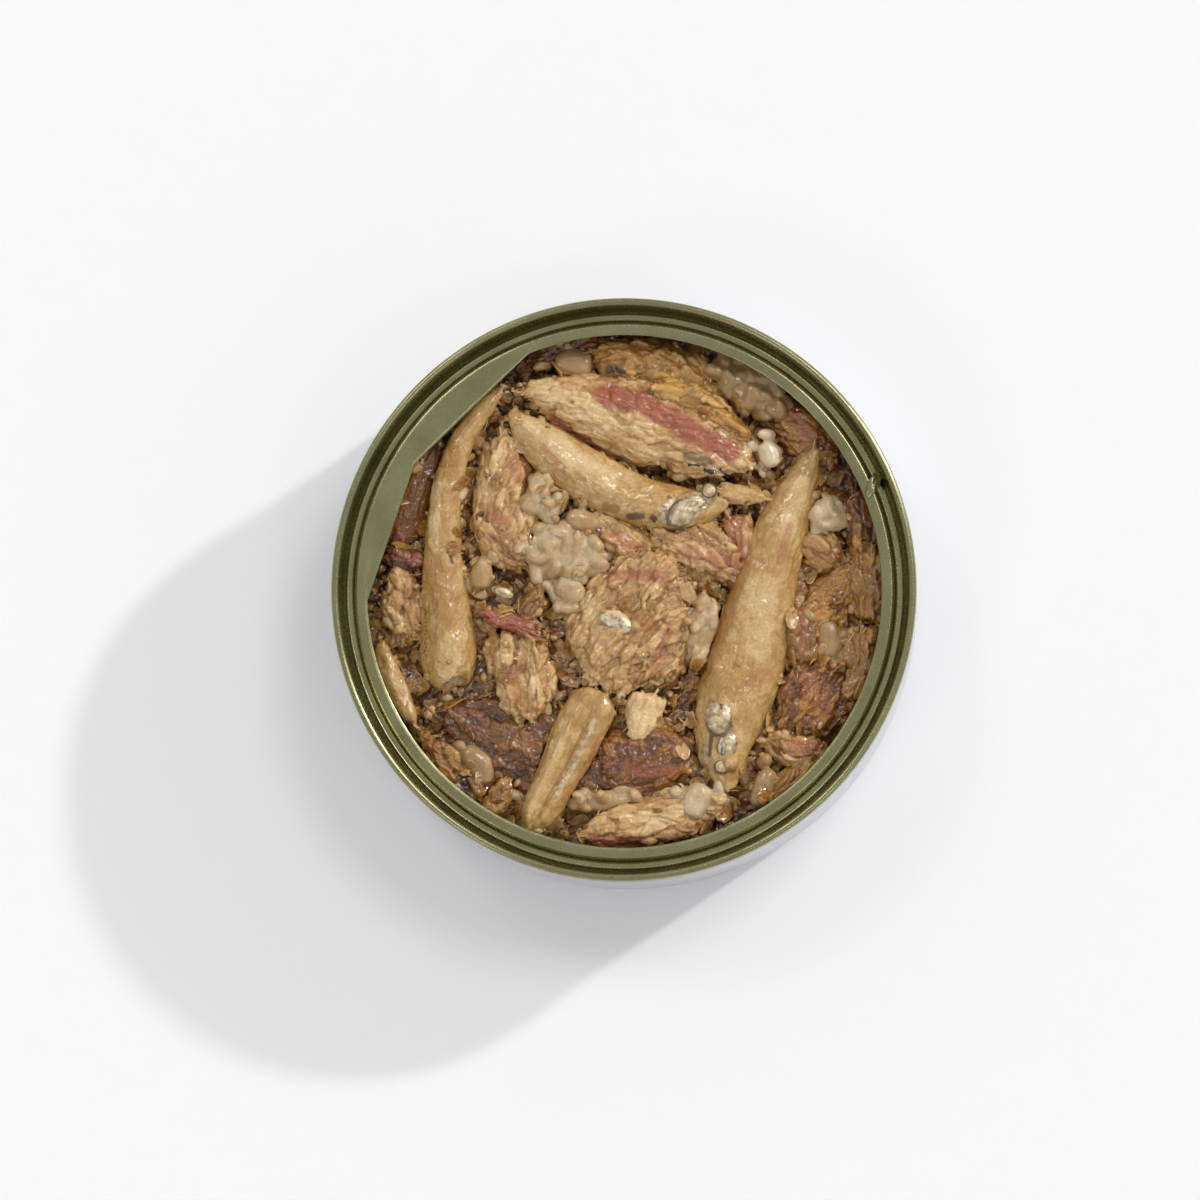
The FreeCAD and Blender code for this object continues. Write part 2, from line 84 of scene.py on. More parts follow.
# ---------------------------------------------------------------- small tools
def linear(code: str) -> tuple[float, float, float, float]:
    """Turn an sRGB hex code into a linear colour.

    Args:
        code: Six hex digits with a leading hash.

    Returns:
        Red, green, blue and an alpha of 1.
    """
    parts = [int(code[i:i + 2], 16) / 255 for i in (1, 3, 5)]
    return (*[p / 12.92 if p <= 0.04045 else ((p + 0.055) / 1.055) ** 2.4 for p in parts], 1.0)


def feed(node: Node, values: dict) -> None:
    """Link or set the inputs of a node.

    Args:
        node: The node that is fed.
        values: Input name or index to the output socket, or to the constant, that feeds it.
    """
    for name, value in values.items():
        if isinstance(value, NodeSocket):
            node.id_data.links.new(value, node.inputs[name])
        else:
            node.inputs[name].default_value = value


def add_node(tree: NodeTree, kind: str, links: dict | None = None, **settings) -> Node:
    """Add one node, set it up and link its inputs.

    Args:
        tree: Node tree that gets the node.
        kind: Blender's name of the node type.
        links: Input name or index to the output socket, or to the constant, that feeds it.
        settings: Properties of the node itself.

    Returns:
        The new node.
    """
    made = tree.nodes.new(kind)
    for name, value in settings.items():
        setattr(made, name, value)
    feed(made, links or {})
    return made


def blank_finish(name: str) -> tuple[Material, NodeTree, Node, NodeSocket]:
    """Start a node material.

    Args:
        name: The material's name.

    Returns:
        The material, its node tree, its shader and the object coordinates.
    """
    made = bpy.data.materials.new(name)
    made.use_nodes = True
    tree = made.node_tree
    place = add_node(tree, "ShaderNodeTexCoord").outputs["Object"]
    return made, tree, tree.nodes["Principled BSDF"], place


def smoothstep(low: float, high: float, value: Array) -> Array:
    """Ease from 0 at low to 1 at high."""
    share = np.clip((value - low) / (high - low), 0, 1)
    return share * share * (3 - 2 * share)


class Noise:
    """Smooth noise on a lattice, the same for the same seed."""

    SIZE = 4096

    def __init__(self, seed: int) -> None:
        """Fill the lattice table for a seed."""
        self.table = np.random.default_rng(seed).uniform(-1, 1, self.SIZE)

    @staticmethod
    def mixed(cell: Array) -> Array:
        """One scrambled whole number for each lattice cell."""
        return cell[:, 0] * 73856093 ^ cell[:, 1] * 19349663 ^ cell[:, 2] * 83492791

    def at(self, points: Array) -> Array:
        """Smooth noise at places.

        Args:
            points: Places given in lattice cells.

        Returns:
            A value of about -1 to 1 at each.
        """
        cell = np.floor(points).astype(np.int64)
        part = points - cell
        ease = part * part * (3 - 2 * part)
        total = np.zeros(len(points))
        for corner in itertools.product((0, 1), repeat=3):
            mixed = self.mixed(cell + corner)
            weight = np.prod(np.where(np.array(corner) == 1, ease, 1 - ease), axis=1)
            total += self.table[mixed % self.SIZE] * weight
        return total

    def cells(self, points: Array) -> tuple[Array, Array]:
        """Irregular cells, for flakes.

        Args:
            points: Places given in cells.

        Returns:
            How much nearer the nearest cell's centre is than the next, and the cell's own value.
        """
        base = np.floor(points).astype(np.int64)
        first, second = np.full(len(points), 9.0), np.full(len(points), 9.0)
        own = np.zeros(len(points))
        for step in itertools.product((-1, 0, 1), repeat=3):
            cell = base + step
            mixed = self.mixed(cell)
            shift = np.stack([self.table[(mixed + k * 101) % self.SIZE] for k in range(3)], axis=1)
            centre = cell + 0.5 + 0.45 * shift
            gap = np.linalg.norm(points - centre, axis=1)
            nearer = gap < first
            second = np.where(nearer, first, np.minimum(second, gap))
            own = np.where(nearer, self.table[(mixed + 977) % self.SIZE], own)
            first = np.where(nearer, gap, first)
        return second - first, own

    def layered(self, points: Array, layers: int = 4) -> Array:
        """Several octaves of the noise, each half as strong and twice as fine.

        Args:
            points: Places given in cells of the first octave.
            layers: How many octaves.

        Returns:
            A value at each place.
        """
        total, size = np.zeros(len(points)), 1.0
        for layer in range(layers):
            total += size * self.at(points * 2 ** layer + 17.3 * layer)
            size /= 2
        return total / 1.5


def link_mesh(name: str, mesh: Mesh) -> Object:
    """Put a mesh into the scene, at the origin.

    Args:
        name: Name of the mesh and of its object.
        mesh: The mesh.

    Returns:
        The linked object.
    """
    mesh.name = name
    made = bpy.data.objects.new(name, mesh)
    bpy.context.scene.collection.objects.link(made)
    return made


def new_mesh_object(name: str, points: Array, faces: Sequence, material: Material) -> Object:
    """Make a smooth-shaded mesh object.

    Args:
        name: Name of the piece.
        points: Vertex places in metres.
        faces: Vertex indices of each face.
        material: The piece's finish.

    Returns:
        The linked object, at the origin.
    """
    mesh = bpy.data.meshes.new(name)
    mesh.from_pydata([tuple(p) for p in points], [], [tuple(map(int, f)) for f in faces])
    mesh.materials.append(material)
    mesh.shade_smooth()
    mesh.update()
    return link_mesh(name, mesh)


def evaluated_mesh(piece: Object) -> Mesh:
    """A plain mesh of what a piece's modifiers make of it."""
    return bpy.data.meshes.new_from_object(piece.evaluated_get(bpy.context.evaluated_depsgraph_get()))


def surface_tree(mesh: Mesh) -> BVHTree:
    """A tree of a mesh's faces, for casting rays."""
    points = [vertex.co.copy() for vertex in mesh.vertices]
    return BVHTree.FromPolygons(points, [tuple(polygon.vertices) for polygon in mesh.polygons])


def discard(thing: Object) -> None:
    """Remove a working object and its mesh."""
    mesh = thing.data
    bpy.data.objects.remove(thing)
    bpy.data.meshes.remove(mesh)


def set_attribute(mesh: Mesh, name: str, values: Array) -> None:
    """Store one number, or one vector, for each vertex.

    Args:
        mesh: Mesh that gets the attribute.
        name: The attribute's name.
        values: One number, or one row of three, for each vertex.
    """
    kind, key = ("FLOAT_VECTOR", "vector") if values.ndim == 2 else ("FLOAT", "value")
    attribute = mesh.attributes.new(name, kind, "POINT")
    attribute.data.foreach_set(key, values.astype(np.float32).ravel())


def vertex_arrays(mesh: Mesh) -> tuple[Array, Array]:
    """Places and normals of a mesh's vertices.

    Args:
        mesh: The mesh that is read.

    Returns:
        Places, in metres, and unit normals.
    """
    places, normals = (np.empty(len(mesh.vertices) * 3, np.float32) for _ in range(2))
    mesh.vertices.foreach_get("co", places)
    mesh.vertex_normals.foreach_get("vector", normals)
    return places.reshape(-1, 3).astype(float), normals.reshape(-1, 3).astype(float)


def settle(piece: Object, slot: str, *nodes: str) -> None:
    """Let a piece ride on the tin and name the construction nodes that it stands for.

    Args:
        piece: A finished piece.
        slot: What its finish is called in the part's record; not used.
        nodes: Construction nodes that it replaces.
    """
    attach(piece, BODY)
    if nodes:
        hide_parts(*nodes)
    stood_for = ", ".join(nodes) or "nothing"
    LOG.info("%s: %d faces, stands for %s", piece.name, len(piece.data.polygons), stood_for)


# ---------------------------------------------------------------- finishes
@dataclass(frozen=True)
class GoldLacquer:
    """Epoxy-phenolic lacquer on tinplate: rolled, roller-coated and baked to an olive gold."""

    # The eye sees warm olive metal, with soft long highlights round every bend.
    film: str = "#a8a57c"
    film_deep: str = "#807a54"
    roughness: float = 0.24
    cloud_mm: float = 6.0
    grit_mm: float = 0.5

    def material(self) -> Material:
        """Build the finish.

        Returns:
            A metal tinted by the film, with faint clouds and a fine grit in its gloss.
        """
        made, tree, shader, place = blank_finish("gold_lacquer")
        cloudy = add_node(tree, "ShaderNodeTexNoise", {
            "Vector": place, "Scale": 1 / (self.cloud_mm * MM), "Detail": 3.0})
        tone = add_node(tree, "ShaderNodeMix", {
            0: cloudy.outputs[0], 6: linear(self.film_deep), 7: linear(self.film)}, data_type="RGBA")
        fine = add_node(tree, "ShaderNodeTexNoise", {
            "Vector": place, "Scale": 1 / (self.grit_mm * MM), "Detail": 2.0})
        rough = add_node(tree, "ShaderNodeMapRange", {
            0: fine.outputs[0], 3: self.roughness - 0.05, 4: self.roughness + 0.08})
        bump = add_node(tree, "ShaderNodeBump", {
            "Height": fine.outputs[0], "Strength": 0.06, "Distance": 0.05 * MM})
        feed(shader, {"Base Color": tone.outputs[2], "Roughness": rough.outputs[0], "Normal": bump.outputs[0],
                      "Metallic": 1.0, "Coat Weight": 0.25, "Coat Roughness": 0.12})
        return made


@dataclass(frozen=True)
class WhiteCoatedTinplate:
    """Tinplate under a thin white varnish: drawn, pale and silky with a cool cast."""

    # The eye sees a smooth pale wall, a little cooler than the floor that it stands on.
    tone: str = "#cfccd6"
    roughness: float = 0.32
    marks_per_metre: tuple[float, float, float] = (2500.0, 2500.0, 90.0)

    def material(self) -> Material:
        """Build the finish.

        Returns:
            A pale silky metal with fine upright draw marks.
        """
        made, tree, shader, place = blank_finish("white_coated_tinplate")
        drawn = add_node(tree, "ShaderNodeMapping", {"Vector": place, "Scale": self.marks_per_metre})
        marks = add_node(tree, "ShaderNodeTexNoise", {"Vector": drawn.outputs[0], "Scale": 1.0, "Detail": 2.0})
        rough = add_node(tree, "ShaderNodeMapRange", {
            0: marks.outputs[0], 3: self.roughness - 0.08, 4: self.roughness + 0.1})
        bump = add_node(tree, "ShaderNodeBump", {
            "Height": marks.outputs[0], "Strength": 0.05, "Distance": 0.03 * MM})
        feed(shader, {"Base Color": linear(self.tone), "Roughness": rough.outputs[0], "Normal": bump.outputs[0],
                      "Metallic": 0.45, "Coat Weight": 0.4, "Coat Roughness": 0.2})
        return made


@dataclass(frozen=True)
class CookedFlesh:
    """Retorted fish flesh: wet protein fibres, light let in under the surface, jelly gloss on top."""

    # The eye sees streaked tan flesh whose wet film breaks the windows up into small highlights.
    name: str
    slot: str
    deep: str
    middle: str
    pale: str
    blush: str = "#a65a3a"
    browned: str = "#a0691f"
    skin_gold: str = "#93784c"
    skin_silver: str = "#ddd2b6"
    inked: str = "#1d1c1c"
    fibre_mm: float = 0.45
    fibre_length_mm: float = 5.0
    blotch_mm: float = 2.6
    pit_mm: float = 0.42
    scale_mm: float = 0.9
    film_mm: float = 1.3
    film_depth: float = 0.10
    streak: float = 0.45
    blotch: float = 0.7
    stipple: float = 0.45
    glow: float = 0.35
    bump: float = 0.5

    def material(self) -> Material:
        """Build the finish.

        Returns:
            Flesh whose tone follows the piece's tint, with blushed, browned, silver and inky
            patches, streaked along its lay, under a wet film.
        """
        made, tree, shader, place = blank_finish(self.name)
        lay = add_node(tree, "ShaderNodeAttribute", attribute_name="lay").outputs["Vector"]
        tint, blush, amber, silver, ink = (
            add_node(tree, "ShaderNodeAttribute", attribute_name=tone).outputs["Fac"] for tone in Marks.TONES)
        along = add_node(tree, "ShaderNodeMapping", {"Vector": lay, "Scale": (
            1 / (self.fibre_length_mm * MM), 1 / (self.fibre_mm * MM), 1 / (self.fibre_mm * MM))})
        fibres = add_node(tree, "ShaderNodeTexNoise", {"Vector": along.outputs[0], "Scale": 1.0, "Detail": 3.0})
        blotches = add_node(tree, "ShaderNodeTexNoise", {
            "Vector": place, "Scale": 1 / (self.blotch_mm * MM), "Detail": 4.0, "Roughness": 0.6})
        pits = add_node(tree, "ShaderNodeTexNoise", {
            "Vector": place, "Scale": 1 / (self.pit_mm * MM), "Detail": 3.0})
        tone = tint
        for pattern, strength in ((fibres, self.streak), (blotches, self.blotch), (pits, self.stipple)):
            centred = add_node(tree, "ShaderNodeMath", {0: pattern.outputs[0], 1: -0.5}, operation="ADD")
            tone = add_node(tree, "ShaderNodeMath", {
                0: centred.outputs[0], 1: strength, 2: tone}, operation="MULTIPLY_ADD").outputs[0]
        ramp = add_node(tree, "ShaderNodeValToRGB", {0: tone})
        ramp.color_ramp.elements[0].color = linear(self.deep)
        ramp.color_ramp.elements[0].position = 0.05
        ramp.color_ramp.elements[1].color = linear(self.pale)
        ramp.color_ramp.elements[1].position = 0.95
        ramp.color_ramp.elements.new(0.5).color = linear(self.middle)
        scales = add_node(tree, "ShaderNodeTexNoise", {
            "Vector": place, "Scale": 1 / (self.scale_mm * MM), "Detail": 3.0})
        sheen = add_node(tree, "ShaderNodeMapRange", {0: scales.outputs[0], 1: 0.38, 2: 0.6})
        foil = add_node(tree, "ShaderNodeMix", {
            0: sheen.outputs[0], 6: linear(self.skin_gold), 7: linear(self.skin_silver)}, data_type="RGBA")
        colour = ramp.outputs[0]
        for mask, shade in ((blush, linear(self.blush)), (amber, linear(self.browned)),
                            (silver, foil.outputs[2]), (ink, linear(self.inked))):
            laid = add_node(tree, "ShaderNodeMix", {0: mask, 6: colour, 7: shade}, data_type="RGBA")
            colour = laid.outputs[2]
        metal = add_node(tree, "ShaderNodeMath", {0: silver, 1: 0.6}, operation="MULTIPLY")
        rough = add_node(tree, "ShaderNodeMapRange", {0: pits.outputs[0], 3: 0.22, 4: 0.5})
        height = add_node(tree, "ShaderNodeMath", {
            0: fibres.outputs[0], 1: 0.8, 2: pits.outputs[0]}, operation="MULTIPLY_ADD")
        bump = add_node(tree, "ShaderNodeBump", {
            "Height": height.outputs[0], "Strength": self.bump, "Distance": 0.25 * MM})
        film = add_node(tree, "ShaderNodeTexNoise", {
            "Vector": place, "Scale": 1 / (self.film_mm * MM), "Detail": 1.5, "Roughness": 0.6})
        wet = add_node(tree, "ShaderNodeBump", {
            "Height": film.outputs[0], "Strength": 1.0, "Distance": self.film_depth * MM})
        feed(shader, {
            "Base Color": colour, "Metallic": metal.outputs[0], "Roughness": rough.outputs[0],
            "Normal": bump.outputs[0], "IOR": 1.42, "Subsurface Weight": self.glow,
            "Subsurface Radius": (1.0, 0.55, 0.3), "Subsurface Scale": 1.6 * MM,
            "Coat Normal": wet.outputs[0], "Coat Weight": 1.0, "Coat Roughness": 0.04, "Coat IOR": 1.5})
        return made


class Flesh(Enum):
    """The kinds of flesh in the tin."""

    FISH = CookedFlesh("small_fish_flesh", "fish_flesh", "#8f6526", "#c2995a", "#e8cf9f",
                       streak=0.22, film_mm=1.0)
    TUNA = CookedFlesh("tuna_flesh", "tuna_flesh", "#8c5a2a", "#c6995d", "#ecd09c", bump=0.6)
    DARK = CookedFlesh("dark_flesh", "dark_flesh", "#2e1403", "#7a4410", "#bb8536",
                       glow=0.15, stipple=0.8, bump=1.0, film_mm=0.7)
    GOLDEN = CookedFlesh("golden_flesh", "golden_flesh", "#6e4412", "#a5722a", "#cfa253", glow=0.4, bump=0.6)
    GRAIN = CookedFlesh("rice_in_jelly", "grain", "#8d6a3c", "#b3915f", "#e4d3b4",
                        glow=0.7, stipple=0.25, streak=0.1, bump=0.2)
    FILLING = CookedFlesh("filling_flesh", "filling", "#2a1406", "#744716", "#b5884a", glow=0.3, bump=0.8)

    @property
    def slot(self) -> str:
        """What this finish is called in the part's record."""
        return self.value.slot


# ---------------------------------------------------------------- sheet metal
@dataclass
class SheetSection:
    """A bent path of sheet in the tin's section, in millimetres, turned round the axis."""

    path: Pairs
    bends: Sequence[float]
    thickness: float
    arc_steps: int = 7

    def side(self, distance: float) -> Array:
        """The path moved to its left by distance, with its bends as arcs.

        Args:
            distance: How far, in millimetres; to the right if negative.

        Returns:
            Points of radius and height.
        """
        path = np.array(self.path, float)
        runs = np.diff(path, axis=0)
        runs /= np.linalg.norm(runs, axis=1)[:, None]
        lefts = np.stack([-runs[:, 1], runs[:, 0]], axis=1)
        made = [path[0] + lefts[0] * distance]
        for index, bend in enumerate(self.bends):
            left, following = lefts[index], lefts[index + 1]
            corner = path[index + 1] + (left + following) * distance / (1 + left @ following)
            turn = np.cross(runs[index], runs[index + 1])
            fitted = bend - distance * math.copysign(1, turn)
            opening = math.acos(np.clip(runs[index] @ runs[index + 1], -1, 1))
            reach = fitted * math.tan(opening / 2)
            centre = corner - runs[index] * reach + left * fitted * math.copysign(1, turn)
            start = corner - runs[index] * reach - centre
            for step in range(self.arc_steps):
                angle = math.copysign(opening, turn) * step / (self.arc_steps - 1)
                cos, sin = math.cos(angle), math.sin(angle)
                swung = (start[0] * cos - start[1] * sin, start[0] * sin + start[1] * cos)
                made.append(centre + np.array(swung))
        made.append(path[-1] + lefts[-1] * distance)
        return np.array(made)

    def outline(self) -> Array:
        """Both sides of the sheet as one closed loop of radius and height."""
        half = self.thickness / 2
        return np.concatenate([self.side(half), self.side(-half)[::-1]])


def turned_faces(rings: int, loop: int) -> list[tuple[int, int, int, int]]:
    """Quads between the rings of a closed loop turned right round.

    Args:
        rings: Number of sections round the axis.
        loop: Points in one section.

    Returns:
        The faces, wound the same way throughout.
    """
    return [(i * loop + j, ((i + 1) % rings) * loop + j,
             ((i + 1) % rings) * loop + (j + 1) % loop, i * loop + (j + 1) % loop)
            for i in range(rings) for j in range(loop)]


def outward(piece: Object) -> None:
    """Make a closed mesh's faces point outwards.

    Args:
        piece: The object whose mesh is turned right.
    """
    work = bmesh.new()
    work.from_mesh(piece.data)
    bmesh.ops.recalc_face_normals(work, faces=work.faces)
    work.to_mesh(piece.data)
    work.free()
    piece.data.shade_smooth()


@dataclass
class Tin:
    """The drawn can and the ring that is left of its end, with sizes in millimetres."""

    height: float = 26.0
    seam_radius: float = 43.65
    body_sheet: float = 0.18
    end_sheet: float = 0.20
    play: float = 0.04
    seam_length: float = 2.8
    seam_overhang: float = 0.45
    seam_round: float = 0.40
    body_hook: float = 2.0
    cover_hook: float = 1.9
    neck_height: float = 1.0
    countersink_depth: float = 4.6
    panel_rise: float = 1.3
    chuck_wall_lean: float = 1.05
    countersink_round: float = 0.55
    panel_wall_lean: float = 0.35
    lip_width: float = 1.73
    lip_round: float = 0.40
    score_depth: float = 0.12
    score_shares: Sequence[float] = (0.0, 0.12, 0.25, 0.4, 0.6)
    tears: Pairs = ((161.0, 2.5), (134.0, 2.8))
    ragged: float = 0.035
    flap_bearing: float = 22.5
    flap_length: float = 3.3
    flap_width: float = 1.9
    flap_lift: float = 0.55
    base_recess: float = 1.1
    base_corner: float = 3.0
    ring_inset: float = 3.91
    ring_half_width: float = 0.8
    recess_lean: float = 0.8
    bead_radii: Sequence[float] = (13.0, 25.0)
    bead_half_width: float = 1.6
    bead_height: float = 0.35
    rings: int = 540
    pitch: float = field(init=False)
    chuck_wall: float = field(init=False)
    opening: float = field(init=False)
    lip: float = field(init=False)

    def __post_init__(self) -> None:
        """Work out the sizes that follow from the others."""
        self.pitch = (self.body_sheet + self.end_sheet) / 2 + self.play
        self.chuck_wall = self.seam_radius - self.end_sheet / 2 - 4 * self.pitch
        sink_inner = self.chuck_wall - self.chuck_wall_lean - 2 * self.countersink_round
        self.opening = sink_inner - self.panel_wall_lean - self.lip_width
        self.lip = self.height - self.countersink_depth + self.end_sheet / 2 + self.panel_rise

    def end_section(self) -> SheetSection:
        """Section of the end, from the score line out over the seam to the tip of its hook.

        Returns:
            The bent path of the end's sheet.
        """
        sink_outer = self.chuck_wall - self.chuck_wall_lean
        sink_inner = sink_outer - 2 * self.countersink_round
        sink = self.height - self.countersink_depth + self.end_sheet / 2
        top = self.height - self.end_sheet / 2
        foot = self.height - self.seam_length + self.end_sheet / 2
        outer = self.seam_radius - self.end_sheet / 2
        lip_outer = sink_inner - self.panel_wall_lean
        score = [(self.opening + self.lip_width * share, self.lip) for share in self.score_shares]
        path = score + [(lip_outer, self.lip), (sink_inner, sink), (sink_outer, sink),
                        (self.chuck_wall, foot), (self.chuck_wall, top), (outer, top), (outer, foot),
                        (outer - 2 * self.pitch, foot), (outer - 2 * self.pitch, foot + self.cover_hook)]
        bends = [0.001] * (len(score) - 1) + [self.lip_round, 0.50, 0.50, 1.0, self.seam_round, self.seam_round,
                                              self.pitch, self.pitch]
        return SheetSection(path, bends, self.end_sheet)

    def opening_at(self, bearings: Array) -> Array:
        """Radius of the torn edge.

        Args:
            bearings: Bearings round the axis, in radians.

        Returns:
            The edge's radius at each, score line and torn chords together.
        """
        edge = np.full(len(bearings), self.opening)
        for bearing, reach in self.tears:
            swing = np.cos(bearings - math.radians(bearing))
            chord = np.where(swing > 0.2, (self.opening - reach) / np.maximum(swing, 0.2), np.inf)
            edge = np.minimum(edge, chord)
        return edge

    def make_end_ring(self, finish: Material) -> Object:
        """Build the ring that is left of the end.

        Args:
            finish: Lacquered sheet.

        Returns:
            The ring, torn along the score and along the two chords.
        """
        outline = self.end_section().outline()
        bearings = np.arange(self.rings) * math.tau / self.rings
        jitter = self.ragged * Noise(3).layered(np.stack([bearings * 60, bearings * 0, bearings * 0], axis=1))
        edges = self.opening_at(bearings) + jitter
        lip_outer = self.opening + self.lip_width
        points = np.empty((self.rings, len(outline), 3))
        for index, (bearing, edge) in enumerate(zip(bearings, edges)):
            radius, height = outline[:, 0].copy(), outline[:, 1].copy()
            on_lip = (radius < lip_outer) & (height > self.lip - 0.3)
            share = (lip_outer - radius[on_lip]) / self.lip_width
            radius[on_lip] = lip_outer - share * (lip_outer - edge)
            height[on_lip] -= self.score_depth * smoothstep(self.opening + 0.5, self.opening, radius[on_lip])
            points[index] = np.stack(
                [radius * math.cos(bearing), radius * math.sin(bearing), height], axis=1) * MM
        piece = new_mesh_object("end_ring_lacquered", points.reshape(-1, 3),
                                turned_faces(self.rings, len(outline)), finish)
        outward(piece)
        return piece

    def make_flap(self, finish: Material) -> Object:
        """Build the crumpled flap that the tab's nose pushed up over the countersink.

        Args:
            finish: Lacquered sheet.

        Returns:
            The flap, as thick as the sheet.
        """
        rows, columns = 22, 13
        noise = Noise(8)
        top, under = [], []
        for row in range(rows):
            share = row / (rows - 1)
            radius = self.opening + 0.25 + share * self.flap_length
            bearing = math.radians(self.flap_bearing - 1.3 + 3.4 * share)
            width = 0.25 + self.flap_width * math.sin(math.pi * min(1.0, 0.15 + 0.62 * share)) ** 1.3
            arch = self.flap_lift * math.sin(math.pi * min(1.0, share * 1.05)) - self.flap_lift * share ** 3
            for column in range(columns):
                across = column / (columns - 1) - 0.5
                crease = 0.16 * float(noise.layered(np.array([[share * 5, across * 4, 0.0]]), 2)[0])
                fold = 0.35 * (0.25 - across * across) + crease
                turn = bearing + across * width / radius
                place = Vector((radius * math.cos(turn), radius * math.sin(turn), self.lip + 0.1 + arch + fold))
                top.append(place * MM)
                under.append((place - Vector((0, 0, self.end_sheet))) * MM)
        count = len(top)
        cells = [(r * columns + c, r * columns + c + 1, (r + 1) * columns + c + 1, (r + 1) * columns + c)
                 for r in range(rows - 1) for c in range(columns - 1)]
        rim = ([c for c in range(columns)] + [r * columns + columns - 1 for r in range(1, rows)]
               + [(rows - 1) * columns + c for c in range(columns - 2, -1, -1)]
               + [r * columns for r in range(rows - 2, 0, -1)])
        faces = cells + [tuple(i + count for i in reversed(cell)) for cell in cells]
        faces += [(a, a + count, b + count, b) for a, b in zip(rim, rim[1:] + rim[:1])]
        piece = new_mesh_object("lip_flap", np.array([tuple(p) for p in top + under]), faces, finish)
        outward(piece)
        return piece

    def make_can(self, outside: Material, inside: Material) -> Object:
        """Build the drawn can.

        Args:
            outside: Finish of the outer skin.
            inside: Lacquer of the inner skin.

        Returns:
            The can with its beaded base, standing ring, wall, neck and hook.
        """
        panel = self.base_recess + self.body_sheet / 2
        ground = self.body_sheet / 2
        wall = self.seam_radius - self.seam_overhang - self.body_sheet / 2
        ring_in = wall - self.ring_inset - self.ring_half_width
        seam_bottom = self.height - self.seam_length
        neck = self.chuck_wall + self.pitch
        hook_top = self.height - self.end_sheet - self.play - self.body_sheet / 2
        path, bends = [(0.35, panel)], []
        for radius in self.bead_radii:
            path += [(radius - self.bead_half_width, panel), (radius, panel + self.bead_height),
                     (radius + self.bead_half_width, panel)]
            bends += [1.0, 1.0, 1.0]
        path += [(ring_in - self.recess_lean, panel), (ring_in, ground), (wall, ground),
                 (wall, seam_bottom - self.neck_height), (neck, seam_bottom), (neck, hook_top),
                 (neck + 2 * self.pitch, hook_top), (neck + 2 * self.pitch, hook_top - self.body_hook)]
        bends += [0.5, 0.5, self.base_corner, 1.0, 1.0, self.pitch, self.pitch]
        outline = SheetSection(path, bends, self.body_sheet).outline()
        rings = self.rings // 2
        bearings = np.arange(rings) * math.tau / rings
        points = np.stack([np.outer(np.cos(bearings), outline[:, 0]), np.outer(np.sin(bearings), outline[:, 0]),
                           np.tile(outline[:, 1], (rings, 1))], axis=2) * MM
        faces = turned_faces(rings, len(outline))
        loop, half = len(outline), len(outline) // 2
        count = rings * loop
        hubs = np.array([[0, 0, outline[0, 1] * MM], [0, 0, outline[-1, 1] * MM]])
        faces = [face for face in faces if face[0] % loop != loop - 1]
        for ring in range(rings):
            following = (ring + 1) % rings
            faces.append((count, following * loop, ring * loop))
            faces.append((count + 1, ring * loop + loop - 1, following * loop + loop - 1))
        piece = new_mesh_object("can_body_drawn", np.concatenate([points.reshape(-1, 3), hubs]), faces, outside)
        outward(piece)
        piece.data.materials.append(inside)
        for polygon in piece.data.polygons:
            first = polygon.vertices[1] if polygon.vertices[0] >= count else polygon.vertices[0]
            polygon.material_index = int(first % loop < half)
        return piece

    def build(self) -> None:
        """Build and dress the tin's two sheet-metal pieces and the flap."""
        lacquer = GoldLacquer().material()
        white = WhiteCoatedTinplate().material()
        settle(self.make_can(white, lacquer), "tinplate", "can_body")
        settle(self.make_end_ring(lacquer), "gold_lacquered_steel", "end_ring")
        settle(self.make_flap(lacquer), "gold_lacquered_steel")


# ---------------------------------------------------------------- food
FINISHES: dict[Flesh, Material] = {}
WALL_INSIDE = 42.9        # radius that the food keeps within
UNDER_COUNTERSINK = 38.0  # radius past which the end's countersink lies over the food
FOOD_TOP = 21.2           # level of the highest food
ABOVE = 30.0              # level over everything, from which rays go down
DOWN = Vector((0, 0, -1))


@dataclass
class Spine:
    """The line that a piece of food runs along, seen from above, in millimetres."""

    points: Pairs
    steps: int = 60

    def line(self) -> Array:
        """A smooth polyline through the points.

        Returns:
            Points of a curve that passes through each given point.
        """
        known = np.array(self.points, float)
        padded = np.concatenate([[2 * known[0] - known[1]], known, [2 * known[-1] - known[-2]]])
        per_span = max(4, self.steps // (len(known) - 1))
        made = []
        for index in range(len(known) - 1):
            a, b, c, d = padded[index:index + 4]
            for step in range(per_span):
                t = step / per_span
                made.append(0.5 * (2 * b + (c - a) * t + (2 * a - 5 * b + 4 * c - d) * t ** 2
                                   + (3 * b - a - 3 * c + d) * t ** 3))
        made.append(known[-1])
        return np.array(made)

    def follow(self, places: Array) -> tuple[Array, Array, Array]:
        """Where places lie along and across the line, and which way it runs there.

        Args:
            places: Points in millimetres.

        Returns:
            Distance along, distance to the left and the line's direction (x, y).
        """
        line = self.line()
        runs = np.diff(line, axis=0)
        lengths = np.linalg.norm(runs, axis=1)
        starts = np.concatenate([[0], np.cumsum(lengths)])
        ways = runs / lengths[:, None]
        middles = (line[:-1] + line[1:]) / 2
        nearest = np.argmin(((places[:, None, :2] - middles[None]) ** 2).sum(axis=2), axis=1)
        offset = places[:, :2] - line[nearest]
        way = ways[nearest]
        along = starts[nearest] + (offset * way).sum(axis=1)
        across = offset[:, 1] * way[:, 0] - offset[:, 0] * way[:, 1]
        return along, across, way


